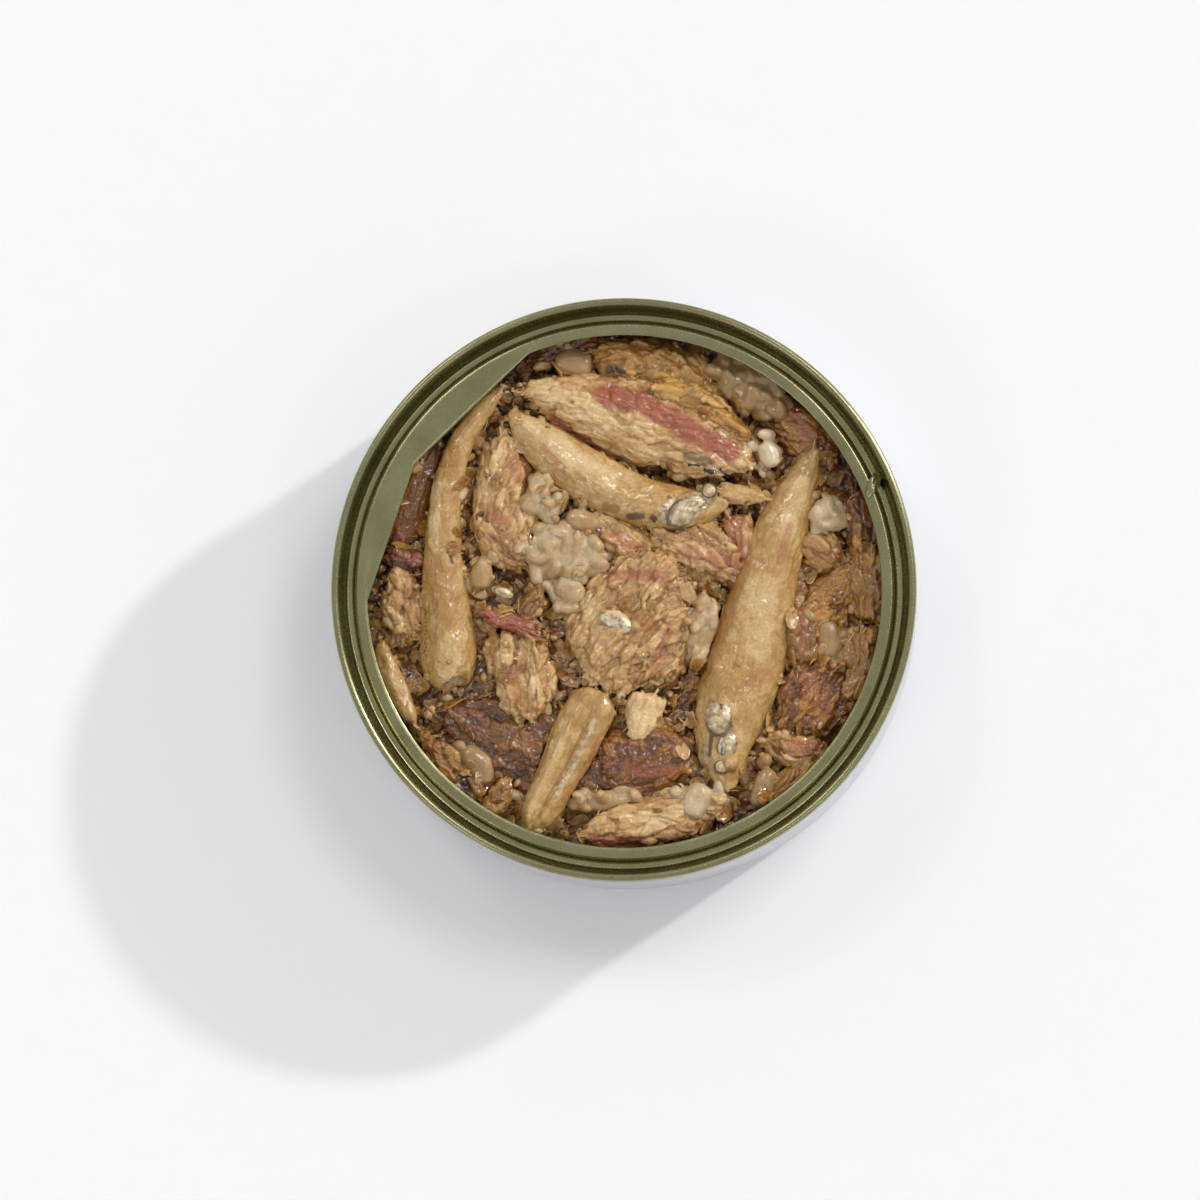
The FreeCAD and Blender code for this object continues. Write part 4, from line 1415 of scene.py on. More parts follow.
        return [
            Morsel("tuna_centre", tuna, [(8.0, 3.2), (3.6, -0.8), (-0.8, -5.6), (-4.4, -10.2), (-6.4, -15.4)],
                   RAGGED, replace(TORN, count=260, yaw=50.0), 0.48, centre),
            Morsel("tuna_top", tuna,
                   [(-15.6, 30.6), (-9.4, 29.6), (-3.4, 27.6), (2.2, 25.0), (8.0, 23.6), (13.4, 22.0),
                    (18.2, 19.6)],
                   CHUNK, replace(TORN, count=170, yaw=16.0), 0.54, top),
            Morsel("tuna_left", tuna, [(-18.2, 25.2), (-18.6, 20.6), (-20.0, 15.8), (-21.4, 10.6)], CHUNK,
                   Shreds(60), 0.52, left),
            Morsel("tuna_left_low", tuna, [(-21.2, 11.6), (-18.0, 8.2), (-15.0, 4.6)], RAGGED, Shreds(70), 0.46,
                   [Patch("blush", [(-19.6, 8.8), (-16.4, 6.6)], 1.1, 0.5)],
                   body=Body((5.4, 7.4, 5.0), (3.6, 5.0, 3.8), 1.5)),
            Morsel("tuna_folded", tuna, [(-16.6, -6.2), (-16.4, -10.4), (-15.8, -14.6), (-15.6, -18.8)], RAGGED,
                   Shreds(110), 0.50, folded),
            Morsel("tuna_under_head", tuna, [(3.8, 10.4), (9.2, 8.2), (14.2, 5.2)], RAGGED, TORN, 0.46,
                   [Patch("blush", [(9.0, 6.0), (14.0, 4.6)], 1.4, 0.5)]),
            Morsel("tuna_crumb_middle", tuna, [(-4.8, 10.6), (-0.4, 8.0), (3.4, 4.4)], RAGGED, TORN,
                   0.46, [Patch("blush", [(-1.0, 8.6), (1.6, 6.0)], 1.5, 0.5)]),
            Morsel("tuna_pink_right", tuna, [(15.6, 12.0), (17.0, 8.0), (16.4, 3.6)], RAGGED, Shreds(60), 0.36,
                   [Patch("blush", [(15.8, 10.0), (16.8, 5.0)], 2.2, 0.55)],
                   body=Body((4.2, 6.0, 4.4), (3.6, 4.8, 3.6), 1.9)),
            Morsel("fillet_low", tuna,
                   [(-7.2, -36.4), (-1.0, -35.4), (5.4, -34.4), (10.4, -34.2), (14.8, -34.2)], CHUNK,
                   replace(TORN, yaw=14.0), 0.55, low),
            Morsel("flake_white", tuna, [(4.6, -14.6), (2.6, -18.0), (1.0, -22.4)], FISH, FRAYED, 0.86),
            Morsel("bone_white", fish, [(-4.0, -3.4), (-1.6, -4.3), (1.0, -5.6)], FISH, WHOLE, 0.95,
                   [Patch("silver", [(-3.6, -3.6), (0.6, -5.4)], 1.2, 0.9)], voxel=0.15,
                   body=Body((1.8, 3.4, 2.0), (1.2, 1.6, 1.2), 0.0)),
            Morsel("flake_spike", fish, [(14.4, 15.2), (18.0, 14.3), (21.8, 13.8)], FISH, FRAYED, 0.55,
                   voxel=0.18),
            Morsel("sliver_pale", fish, [(-36.2, -7.4), (-34.6, -13.2), (-31.6, -19.4)], FISH, FRAYED,
                   0.50),
            Morsel("flakes_left", tuna, [(-33.8, 3.0), (-32.4, -1.4), (-31.0, -6.2)], RAGGED, TORN, 0.42,
                   [Patch("amber", [(-32.0, 1.0), (-31.0, -5.0)], 1.4, 0.4)]),
            Morsel("fillet_tan_right", tuna, [(26.6, 8.4), (29.4, 6.6), (32.0, 4.8)], CHUNK, Shreds(40), 0.40,
                   [Patch("amber", [(27.0, 8.0), (31.0, 5.4)], 2.0, 0.4)],
                   body=Body((3.6, 5.2, 3.4), (3.0, 4.2, 3.0), 1.9)),
            Morsel("tuna_pink_low_right", tuna, [(21.8, -21.8), (25.4, -23.6), (29.2, -23.0)], CHUNK,
                   Shreds(50), 0.42, [Patch("blush", [(23.0, -22.8), (27.8, -23.2)], 1.6, 0.5)],
                   body=Body((4.0, 5.0, 3.6), (3.2, 4.2, 3.0), 1.8)),
            Morsel("flakes_top", golden, [(-4.6, 36.0), (1.2, 35.0), (6.2, 33.0), (9.6, 30.2)], RAGGED,
                   TORN, 0.62, [Patch("ink", [(-2.4, 33.6), (-0.4, 33.2)], 0.7, 0.85)]),
            Morsel("flakes_fan", golden, [(5.2, 30.6), (10.0, 29.4), (14.8, 27.6)], CHUNK,
                   replace(TORN, yaw=12.0), 0.74, body=Body((3.2, 4.4, 2.6), (2.0, 2.8, 2.0), 0.4)),
            Morsel("strip_right_top", golden, [(12.0, 27.2), (15.4, 25.2), (18.8, 23.4)], CHUNK, FRAYED,
                   0.72, body=Body((2.2, 2.8, 2.0), (1.8, 2.2, 1.6), 0.2)),
            Morsel("strip_yellow", golden, [(27.2, -24.8), (24.4, -28.2), (21.6, -31.8)], CHUNK,
                   Shreds(40, yaw=8.0), 0.58),
            Morsel("bit_orange", golden, [(-17.4, -27.2), (-19.4, -29.4), (-21.2, -31.4)], CHUNK, FRAYED,
                   0.50),
            Morsel("tuna_spotted", golden, [(-30.0, -21.2), (-26.6, -25.4), (-23.0, -30.6)], RAGGED, Shreds(50),
                   0.34, [Patch("ink", [(-24.2, -27.4), (-23.4, -30.4)], 0.6, 0.8),
                   Patch("amber", [(-29.0, -22.6), (-27.0, -26.0)], 1.4, 0.5)]),
            Morsel("tuna_wall_upper", golden, [(35.8, 2.2), (36.4, -1.6), (36.0, -5.8)], RAGGED, Shreds(60),
                   0.48),
            Morsel("tuna_wall_lower", golden, [(35.2, -5.6), (34.8, -9.8), (33.2, -14.2)], RAGGED, Shreds(60),
                   0.50),
            Morsel("fillet_right_low", golden, [(25.4, -2.0), (26.4, -6.4), (26.2, -10.8)], CHUNK, Shreds(50),
                   0.40, [Patch("blush", [(25.6, -3.0), (26.2, -7.0)], 1.4, 0.3)],
                   body=Body((4.8, 6.4, 5.0), (3.6, 5.0, 4.0), 1.7)),
            Morsel("fillet_right", dark, [(26.8, 0.6), (31.0, 2.2), (35.4, 3.6)], CHUNK, Shreds(50, yaw=10.0),
                   0.84),
            Morsel("tuna_brown_right", dark, [(31.6, -12.0), (28.8, -15.2), (26.0, -19.6)], RAGGED, TORN,
                   0.62, [Patch("blush", [(27.0, -14.0), (29.6, -17.4)], 1.8, 0.4),
                   Patch("tint", [(25.6, -16.4), (29.4, -18.6)], 0.8, 0.9)]),
            Morsel("tuna_corner_right", dark, [(22.8, 28.2), (27.0, 25.6), (30.6, 21.2), (32.6, 16.6)], CHUNK,
                   Shreds(80), 0.66, [Patch("blush", [(24.0, 27.4), (29.4, 22.4)], 1.8, 0.45)]),
            Morsel("tuna_right_wall_high", dark, [(33.6, 15.2), (35.4, 10.6), (36.0, 6.0)], CHUNK, Shreds(60),
                   0.48, body=Body((5.2, 6.2, 4.6), (3.8, 4.8, 3.8), 2.2)),
            Morsel("strip_pink", dark, [(-21.2, -3.2), (-17.6, -4.0), (-13.4, -5.8)], CHUNK,
                   Shreds(40, yaw=8.0), 0.6, [Patch("blush", [(-20.6, -3.4), (-14.0, -5.4)], 1.6, 0.9)],
                   voxel=0.18, body=Body((1.8, 3.0, 3.0), (1.6, 2.2, 2.0), 0.5)),
            Morsel("petal_brown", dark, [(-12.8, 0.4), (-14.1, -1.8), (-15.0, -3.8)], CHUNK, FRAYED, 0.55,
                   [Patch("amber", [(-13.4, -0.8), (-14.6, -3.0)], 1.4, 0.5)], voxel=0.18,
                   body=Body((2.2, 3.8, 2.8), (1.8, 2.4, 2.0), 1.0)),
            Morsel("bit_black", dark, [(9.2, 20.0), (11.4, 19.3), (13.8, 18.4)], RAGGED, FRAYED, 0.1,
                   [Patch("ink", [(9.0, 20.0), (14.0, 18.2)], 1.8, 0.9)], voxel=0.18,
                   body=Body((1.8, 2.8, 1.8), (1.8, 2.4, 1.6), 0.9)),
        ]

    @staticmethod
    def skins() -> list[Morsel]:
        """Dark flesh and sheets of skin, which lie lower.

        Returns:
            The morsels, in the order of their seeds.
        """
        dark = Flesh.DARK
        return [
            Morsel("tuna_skin_dark", dark, [(-30.2, -17.6), (-24.6, -20.2), (-18.4, -22.2), (-12.0, -24.6)],
                   GRANULAR, Shreds(40), 0.40, [Patch("amber", [(-20.0, -20.4), (-14.0, -22.6)], 2.2, 0.25)]),
            Morsel("tuna_skin_right", dark, [(-4.6, -24.6), (1.4, -24.8), (6.2, -23.6), (9.0, -22.0)], GRANULAR,
                   Shreds(60), 0.58, [Patch("blush", [(0.6, -26.0), (7.0, -27.0)], 1.2, 0.5),
                   Patch("amber", [(5.6, -19.6), (9.0, -22.0)], 1.8, 0.6)],
                   body=Body((9.0, 10.4, 9.6, 5.2), (4.0, 4.8, 4.8, 3.8), 1.9)),
            Morsel("sheet_brown", dark, [(-29.4, 22.0), (-31.6, 15.6), (-33.4, 8.6)], FISH, FRAYED, 0.50,
                   [Patch("amber", [(-30.0, 20.0), (-32.4, 11.0)], 2.4, 0.35)]),
            Morsel("skin_red_left", dark, [(-35.8, 6.2), (-33.2, 5.4), (-30.4, 5.0)], CHUNK, FRAYED, 0.36,
                   [Patch("blush", [(-34.6, 5.8), (-31.4, 5.2)], 1.0, 0.4)],
                   body=Body((2.8, 3.4, 3.0), (2.0, 2.4, 2.0), 1.7)),
            Morsel("tuna_dark_top", dark, [(-14.2, 35.4), (-8.2, 37.4), (-1.6, 38.0), (4.8, 37.2)], CHUNK,
                   Shreds(60), 0.36, [Patch("blush", [(-2.6, 37.6), (4.4, 36.8)], 1.2, 0.35)]),
            Morsel("tuna_corner_low", dark, [(15.0, -35.0), (18.6, -33.8), (22.0, -32.8)], RAGGED, Shreds(50),
                   0.44),
        ]

    @staticmethod
    def grains() -> list[Morsel]:
        """Swollen rice grains, clumped in jelly or alone.

        Returns:
            The morsels, in the order of their seeds.
        """
        clumps = {
            "grain_white_top": ([(20.4, 22.8), (21.6, 20.8), (22.6, 18.6)], 3, 0.85,
                                Body((3.0, 4.2, 3.0), (2.8, 3.4, 2.6), 0.6)),
            "grain_clump_left": ([(-15.0, 16.8), (-12.6, 13.6), (-10.4, 10.8)], 22, 0.62, None),
            "grain_single": ([(-21.4, 5.8), (-21.6, 3.0), (-21.8, 0.4)], 3, 0.5,
                             Body((2.8, 4.0, 3.2), (2.4, 3.4, 2.6), 1.2)),
            "grain_clump_middle": ([(-14.4, 8.8), (-11.6, 5.8), (-7.6, 4.4), (-3.4, 3.0)], 30, 0.6, None),
            "grain_strip": ([(-9.4, 11.6), (-6.4, 11.0), (-3.6, 10.0)], 6, 0.5,
                            Body((3.0, 4.2, 3.0), (2.4, 3.2, 2.4), 1.4)),
            "grain_clump_low_left": ([(-10.6, 1.9), (-8.4, 0.7), (-6.0, -0.8)], 7, 0.62,
                                     Body((3.4, 4.8, 3.4), (2.6, 3.6, 2.8), 1.0)),
            "grain_clump_side": ([(8.4, 0.0), (10.6, -4.4), (9.8, -9.0), (8.0, -13.4)], 20, 0.6, None),
            "grain_clump_right": ([(28.2, 14.8), (30.4, 12.2), (31.0, 8.8)], 14, 0.7, None),
            "grain_wall": ([(29.8, -3.8), (30.6, -7.0), (30.4, -10.2)], 6, 0.42,
                           Body((3.2, 4.6, 3.4), (2.8, 3.6, 2.8), 1.9)),
            "grain_low_right": ([(9.2, -34.0), (10.6, -31.2), (11.8, -28.2)], 9, 0.72,
                                Body((4.4, 5.6, 4.0), (3.0, 4.2, 3.0), 0.9)),
            "jelly_low_right": ([(21.6, -25.8), (20.6, -29.2), (19.2, -32.6)], 6, 0.42,
                                Body((3.0, 4.0, 3.0), (2.6, 3.4, 2.6), 1.7)),
            "grain_clump_low": ([(-8.8, -33.4), (-4.6, -30.9), (0.0, -29.9), (5.0, -29.4)], 16, 0.5, None),
            "grain_clump_top": ([(9.8, 33.2), (14.8, 31.8), (19.8, 28.6), (23.2, 24.8)], 30, 0.4, None),
            "jelly_top_left": ([(-11.2, 34.6), (-7.8, 34.8), (-4.6, 34.0)], 8, 0.42,
                               Body((3.6, 5.2, 3.8), (2.8, 3.8, 3.0), 1.7)),
            "jelly_low_left": ([(-24.6, -22.8), (-21.8, -25.4), (-21.0, -29.0)], 6, 0.36,
                               Body((3.2, 4.8, 3.6), (2.4, 3.4, 2.8), 2.2)),
        }
        return [Morsel(node, Flesh.GRAIN, run, JELLY, WHOLE, tint, grains=count, voxel=0.2, body=body)
                for node, (run, count, tint, body) in clumps.items()]

    def build(self) -> None:
        """Build and dress all the food."""
        for kind in Flesh:
            FINISHES[kind] = kind.value.material()
        pieces = []
        for order, morsel in enumerate(self.fish() + self.tuna() + self.skins() + self.grains()):
            morsel.seed = self.first_seed + order
            pieces.append(morsel.build())
        for part in self.heads():
            part.build()
        pieces.append(Filling().build())
        Strewn(pieces).build()


@dataclass
class Filling:
    """The loose filling: an uneven crumbly surface over a plain core; sizes in millimetres."""

    pitch: float = 0.30
    edge_gap: float = 0.02
    foot_round: float = 1.0
    clods: Pairs = ((2.6, 0.75), (0.9, 0.32), (0.4, 0.10))
    flake_size: float = 1.5
    flake_rise: float = 0.5
    crack_depth: float = 0.35
    calm_edge: float = 1.5
    seed: int = 77

    def rows(self, radius: float) -> tuple[Array, list[list[int]]]:
        """Rings of points over the whole surface and the indices of each ring.

        Args:
            radius: Radius of the surface, in millimetres.

        Returns:
            Points seen from above, and the indices of each ring.
        """
        rings = int(radius / self.pitch)
        points, rows = [(0.0, 0.0)], [[0]]
        for ring in range(1, rings + 1):
            reach = radius * ring / rings
            count = max(8, int(math.tau * reach / self.pitch / 8) * 8)
            rows.append(list(range(len(points), len(points) + count)))
            points += [(reach * math.cos(math.tau * k / count), reach * math.sin(math.tau * k / count))
                       for k in range(count)]
        return np.array(points), rows

    @staticmethod
    def between_rings(inner: list[int], outer: list[int]) -> list[tuple[int, int, int]]:
        """Triangles between two rings of different counts that start at the same bearing.

        Args:
            inner: Indices of the inner ring, or of the one middle point.
            outer: Indices of the outer ring.

        Returns:
            The triangles.
        """
        faces, i, o = [], 0, 0
        while i < len(inner) or o < len(outer):
            inner_turn = len(inner) > 1 and i < len(inner)
            if inner_turn and (o >= len(outer) or (i + 1) / len(inner) <= (o + 1) / len(outer)):
                faces.append((inner[i], outer[o % len(outer)], inner[(i + 1) % len(inner)]))
                i += 1
            elif o < len(outer):
                faces.append((inner[i % len(inner)], outer[o], outer[(o + 1) % len(outer)]))
                o += 1
            else:
                i += 1
        return faces

    def crumbled(self, flat: Array, radius: float) -> tuple[Array, Array]:
        """Lay the net over the solid's surface and break it up.

        Args:
            flat: Points seen from above.
            radius: Radius of the surface.

        Returns:
            The raised points, and a value of its own for the flake at each.
        """
        tree = surface_tree(frame["nodes"]["filling"].data)
        heights = []
        for x, y in flat * 0.999:
            hit = tree.ray_cast(Vector((x, y, ABOVE)) * MM, DOWN)[0]
            heights.append(hit.z / MM if hit else FOOD_TOP - 5)
        places = np.column_stack([flat, heights])
        level = np.column_stack([flat, np.zeros(len(flat))])
        noise = Noise(self.seed)
        inner = 1 - smoothstep(radius - self.calm_edge, radius, np.hypot(places[:, 0], places[:, 1]))
        for size, rise in self.clods:
            places[:, 2] += inner * rise * noise.layered(level / size + size, 3)
        gap, own = noise.cells(level / self.flake_size)
        crack = 1 - smoothstep(0.02, 0.25, gap)
        places[:, 2] += inner * (self.flake_rise * own - self.crack_depth * crack)
        return places, own

    def build(self) -> Object:
        """Build the filling.

        Returns:
            The filling, riding on the tin in place of its solid.
        """
        low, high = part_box("filling")
        radius, floor = high.x / MM - self.edge_gap, low.z / MM
        flat, rows = self.rows(radius)
        places, own = self.crumbled(flat, radius)
        rim = rows[-1]
        base, count = len(places), len(rim)
        foot = [(*places[i, :2], floor + self.foot_round) for i in rim]
        foot += [(*(places[i, :2] * (1 - self.foot_round / radius)), floor) for i in rim]
        faces = [face for one, other in zip(rows, rows[1:]) for face in self.between_rings(one, other)]
        for k in range(count):
            following = (k + 1) % count
            faces.append((rim[k], base + k, base + following, rim[following]))
            faces.append((base + k, base + count + k, base + count + following, base + following))
            faces.append((base + count + k, base + 2 * count, base + count + following))
        everything = np.concatenate([places, np.array(foot), [[0, 0, floor]]])
        piece = new_mesh_object("food_filling", everything * MM, faces, FINISHES[Flesh.FILLING])
        outward(piece)
        marks = Marks(everything, Spine([(-30.0, -5.0), (30.0, 5.0)]), 5, 0.5)
        level, noise = np.column_stack([flat, np.zeros(base)]), Noise(self.seed)
        marks.tint[:base] = 0.42 + 0.22 * own + 0.25 * noise.layered(level / 5.0 + 9, 2)
        marks.amber[:base] = smoothstep(0.2, 0.9, noise.layered(level / 3.5 + 21, 2)) * 0.6
        marks.blush[:base] = smoothstep(0.2, 0.9, noise.layered(level / 4.5 + 61, 2)) * 0.5
        marks.store(piece.data)
        settle(piece, Flesh.FILLING.slot, "filling")
        return piece


@dataclass(frozen=True)
class Strew:
    """One kind of small thing strewn over the food; sizes in millimetres, density per mm2."""

    name: str
    flesh: Flesh
    density: float
    scale: tuple[float, float]
    seed: int
    shape: Callable[[Chance], Shape]
    lean: float = 0.35
    tint: tuple[float, float] = (0.3, 0.75)
    variants: int = 5


def lumpy_ball(chance: Chance, depth: float, fineness: float,
               size: tuple[float, float, float]) -> Shape:
    """An uneven ball.

    Args:
        chance: Picks its unevenness.
        depth: How deep the unevenness goes, as a share of the radius.
        fineness: Lumps along its width.
        size: Widths along x, y and z.

    Returns:
        Its points and faces.
    """
    work = bmesh.new()
    bmesh.ops.create_icosphere(work, subdivisions=2, radius=0.5)
    points = np.array([v.co[:] for v in work.verts])
    faces = [tuple(v.index for v in f.verts) for f in work.faces]
    work.free()
    noise = Noise(int(chance.integers(1, 999)))
    points *= 1 + depth * noise.layered(points * fineness, 2)[:, None]
    return points * size, faces


def strand(size: tuple[float, float, float], bow: Array, corners: int) -> Shape:
    """One bent tapered strand along x, of a length, width and thickness."""
    return spindles(np.zeros((1, 3)), np.array([[1.0, 0.0, 0.0]]), np.array([[0.0, 0.0, 1.0]]),
                    np.array([size]), bow, 9, corners)


def crumb_shape(chance: Chance) -> Shape:
    """A torn crumb of flesh, about 1 mm across."""
    return lumpy_ball(chance, 0.45, 3.2, (1.25, 0.85, 0.6))


def bead_shape(chance: Chance) -> Shape:
    """A bead of melted jelly, about 1 mm across."""
    return lumpy_ball(chance, 0.15, 2.0, (1.1, 0.9, 0.45))


def speck_shape(chance: Chance) -> Shape:
    """A dark speck of skin, about 0.4 mm across."""
    points, faces = crumb_shape(chance)
    return points * [0.4, 0.4, 0.2], faces


def fibre_shape(chance: Chance) -> Shape:
    """A bent muscle fibre, about 3 mm long."""
    return strand((3.0, chance.uniform(0.26, 0.5), 0.26), chance.normal(0, 0.14, 1), 6)


def grain_shape(chance: Chance) -> Shape:
    """A broken swollen grain, about 2 mm long."""
    return strand((chance.uniform(1.6, 2.4), 1.3, 1.1), chance.normal(0, 0.05, 1), 12)


def flake_shape(chance: Chance) -> Shape:
    """A thin flake of flesh with a ragged edge, about 2.4 mm across.

    Args:
        chance: Picks its edge and warp.

    Returns:
        Its points and faces: two skins of rings round a hub, joined at the rim.
    """
    noise, rings, corners, half_thick = Noise(int(chance.integers(1, 999))), 4, 14, 0.13
    turn = np.arange(corners) * math.tau / corners
    edge = 1 + 0.35 * noise.layered(np.column_stack([np.cos(turn), np.sin(turn), turn * 0]) * 1.8, 2)
    points, faces = [], []
    for side in (1, -1):
        for ring in range(1, rings + 1):
            reach = ring / rings
            at = np.column_stack([np.cos(turn) * reach, np.sin(turn) * reach, turn * 0])
            warp = 0.18 * noise.layered(at * 2 + 7, 2)
            points += list(np.column_stack([
                1.3 * reach * edge * np.cos(turn), 0.75 * reach * edge * np.sin(turn),
                warp + side * half_thick * (1 - reach ** 4)]))
        points.append([0, 0, side * half_thick])
    for half, start in ((1, 0), (-1, rings * corners + 1)):
        hub = start + rings * corners
        for c in range(corners):
            d = (c + 1) % corners
            cap = (hub, start + c, start + d)
            faces.append(cap if half > 0 else cap[::-1])
            for ring in range(rings - 1):
                quad = (start + ring * corners + c, start + (ring + 1) * corners + c,
                        start + (ring + 1) * corners + d, start + ring * corners + d)
                faces.append(quad if half > 0 else quad[::-1])
    under, rim = rings * corners + 1, (rings - 1) * corners
    faces += [(rim + c, under + rim + c, under + rim + (c + 1) % corners, rim + (c + 1) % corners)
              for c in range(corners)]
    return np.array(points), faces


@dataclass
class Strewn:
    """Small things strewn by Geometry Nodes over what shows of the food."""

    pieces: list[Object]
    skin_radius: float = 38.6
    skin_pitch: float = 0.5
    on_filling: float = 1.0
    on_pieces: float = 0.05
    on_fish: float = 0.01
    kinds: Sequence[Strew] = (
        Strew("strewn_crumbs", Flesh.TUNA, 0.16, (0.5, 1.5), 3, crumb_shape, 0.8, (0.2, 0.6)),
        Strew("strewn_fibres", Flesh.TUNA, 0.14, (0.4, 1.1), 5, fibre_shape, 0.25, (0.3, 0.6)),
        Strew("strewn_flakes", Flesh.TUNA, 0.12, (0.5, 1.4), 7, flake_shape, 0.5, (0.2, 0.5)),
        Strew("strewn_golden_flakes", Flesh.GOLDEN, 0.07, (0.6, 1.6), 9, flake_shape, 0.5),
        Strew("strewn_dark_flakes", Flesh.DARK, 0.08, (0.6, 1.6), 8, flake_shape, 0.5, (0.3, 0.7)),
        Strew("strewn_grains", Flesh.GRAIN, 0.03, (0.7, 1.4), 11, grain_shape, 0.5, (0.3, 0.6)),
        Strew("strewn_jelly_beads", Flesh.GRAIN, 0.12, (0.2, 0.6), 13, bead_shape, 0.1, (0.1, 0.4)),
        Strew("strewn_specks", Flesh.DARK, 0.03, (0.3, 0.9), 17, speck_shape, 0.3, (0.0, 0.1)),
    )

    def thickness_on(self, name: str) -> float:
        """How thickly a piece of food is strewn.

        Args:
            name: The piece's name.

        Returns:
            A share of the full thickness.
        """
        if name.startswith("food_fish"):
            return self.on_fish
        return self.on_filling if name == "food_filling" else self.on_pieces

    def skin(self) -> Object:
        """Lay a net over the food that shows.

        Returns:
            A net over the highest food at each place, with how thickly each place is strewn.
        """
        trees = [(piece.name, surface_tree(piece.data)) for piece in self.pieces]
        half = int(self.skin_radius / self.skin_pitch)
        points, bare, index = [], [], {}
        for row, column in itertools.product(range(-half, half + 1), repeat=2):
            x, y = column * self.skin_pitch, row * self.skin_pitch
            if math.hypot(x, y) > self.skin_radius:
                continue
            best, top = "", -1.0
            for name, tree in trees:
                hit = tree.ray_cast(Vector((x, y, ABOVE)) * MM, DOWN)[0]
                if hit and hit.z > top:
                    best, top = name, hit.z
            index[row, column] = len(points)
            points.append((x, y, top / MM))
            bare.append(self.thickness_on(best))
        faces = [(index[r, c], index[r, c + 1], index[r + 1, c + 1], index[r + 1, c]) for r, c in index
                 if (r, c + 1) in index and (r + 1, c) in index and (r + 1, c + 1) in index]
        made = new_mesh_object("skin_work", np.array(points) * MM, faces, FINISHES[Flesh.TUNA])
        set_attribute(made.data, "bare", np.array(bare))
        return made

    def tree(self) -> NodeTree:
        """Build the node tree that strews a collection's objects over the skin.

        Returns:
            A tree with a named input for each size, the seed, the bits and the finish.
        """
        group = bpy.data.node_groups.new("strew", "GeometryNodeTree")
        for name, kind in (("Geometry", "NodeSocketGeometry"), ("Bits", "NodeSocketCollection"),
                           ("Density", "NodeSocketFloat"), ("Seed", "NodeSocketInt"),
                           ("Smallest", "NodeSocketFloat"), ("Largest", "NodeSocketFloat"),
                           ("Lean", "NodeSocketFloat"), ("Palest", "NodeSocketFloat"),
                           ("Deepest", "NodeSocketFloat"), ("Finish", "NodeSocketMaterial")):
            group.interface.new_socket(name, in_out="INPUT", socket_type=kind)
        group.interface.new_socket("Geometry", in_out="OUTPUT", socket_type="NodeSocketGeometry")
        given = add_node(group, "NodeGroupInput").outputs
        bare = add_node(group, "GeometryNodeInputNamedAttribute", {"Name": "bare"}, data_type="FLOAT")
        density = add_node(group, "ShaderNodeMath", {0: given["Density"], 1: bare.outputs["Attribute"]},
                           operation="MULTIPLY")
        spread = add_node(group, "GeometryNodeDistributePointsOnFaces", {
            "Mesh": given["Geometry"], "Density": density.outputs[0], "Seed": given["Seed"]})
        bits = add_node(group, "GeometryNodeCollectionInfo", {
            "Collection": given["Bits"], "Separate Children": True, "Reset Children": True})
        backward = add_node(group, "ShaderNodeMath", {0: given["Lean"], 1: -1.0}, operation="MULTIPLY")
        lowest = add_node(group, "ShaderNodeCombineXYZ", {
            0: backward.outputs[0], 1: backward.outputs[0], 2: 0.0})
        highest = add_node(group, "ShaderNodeCombineXYZ", {
            0: given["Lean"], 1: given["Lean"], 2: math.tau})
        angles = add_node(group, "FunctionNodeRandomValue", {
            0: lowest.outputs[0], 1: highest.outputs[0], "Seed": given["Seed"]}, data_type="FLOAT_VECTOR")
        turned = add_node(group, "FunctionNodeEulerToRotation", {0: angles.outputs[0]})
        rotation = add_node(group, "FunctionNodeRotateRotation", {
            0: spread.outputs["Rotation"], 1: turned.outputs[0]}, rotation_space="LOCAL")
        size = add_node(group, "FunctionNodeRandomValue", {
            2: given["Smallest"], 3: given["Largest"], "Seed": given["Seed"]}, data_type="FLOAT")
        placed = add_node(group, "GeometryNodeInstanceOnPoints", {
            "Points": spread.outputs["Points"], "Instance": bits.outputs[0], "Pick Instance": True,
            "Rotation": rotation.outputs[0], "Scale": size.outputs[1]})
        tone = add_node(group, "FunctionNodeRandomValue", {
            2: given["Deepest"], 3: given["Palest"], "Seed": given["Seed"]}, data_type="FLOAT")
        toned = add_node(group, "GeometryNodeStoreNamedAttribute", {
            "Geometry": placed.outputs[0], "Name": "tint", "Value": tone.outputs[1]},
            data_type="FLOAT", domain="INSTANCE")
        real = add_node(group, "GeometryNodeRealizeInstances", {0: toned.outputs[0]})
        dressed = add_node(group, "GeometryNodeSetMaterial", {
            "Geometry": real.outputs[0], "Material": given["Finish"]})
        smooth = add_node(group, "GeometryNodeSetShadeSmooth", {0: dressed.outputs[0]})
        add_node(group, "NodeGroupOutput", {0: smooth.outputs[0]})
        return group

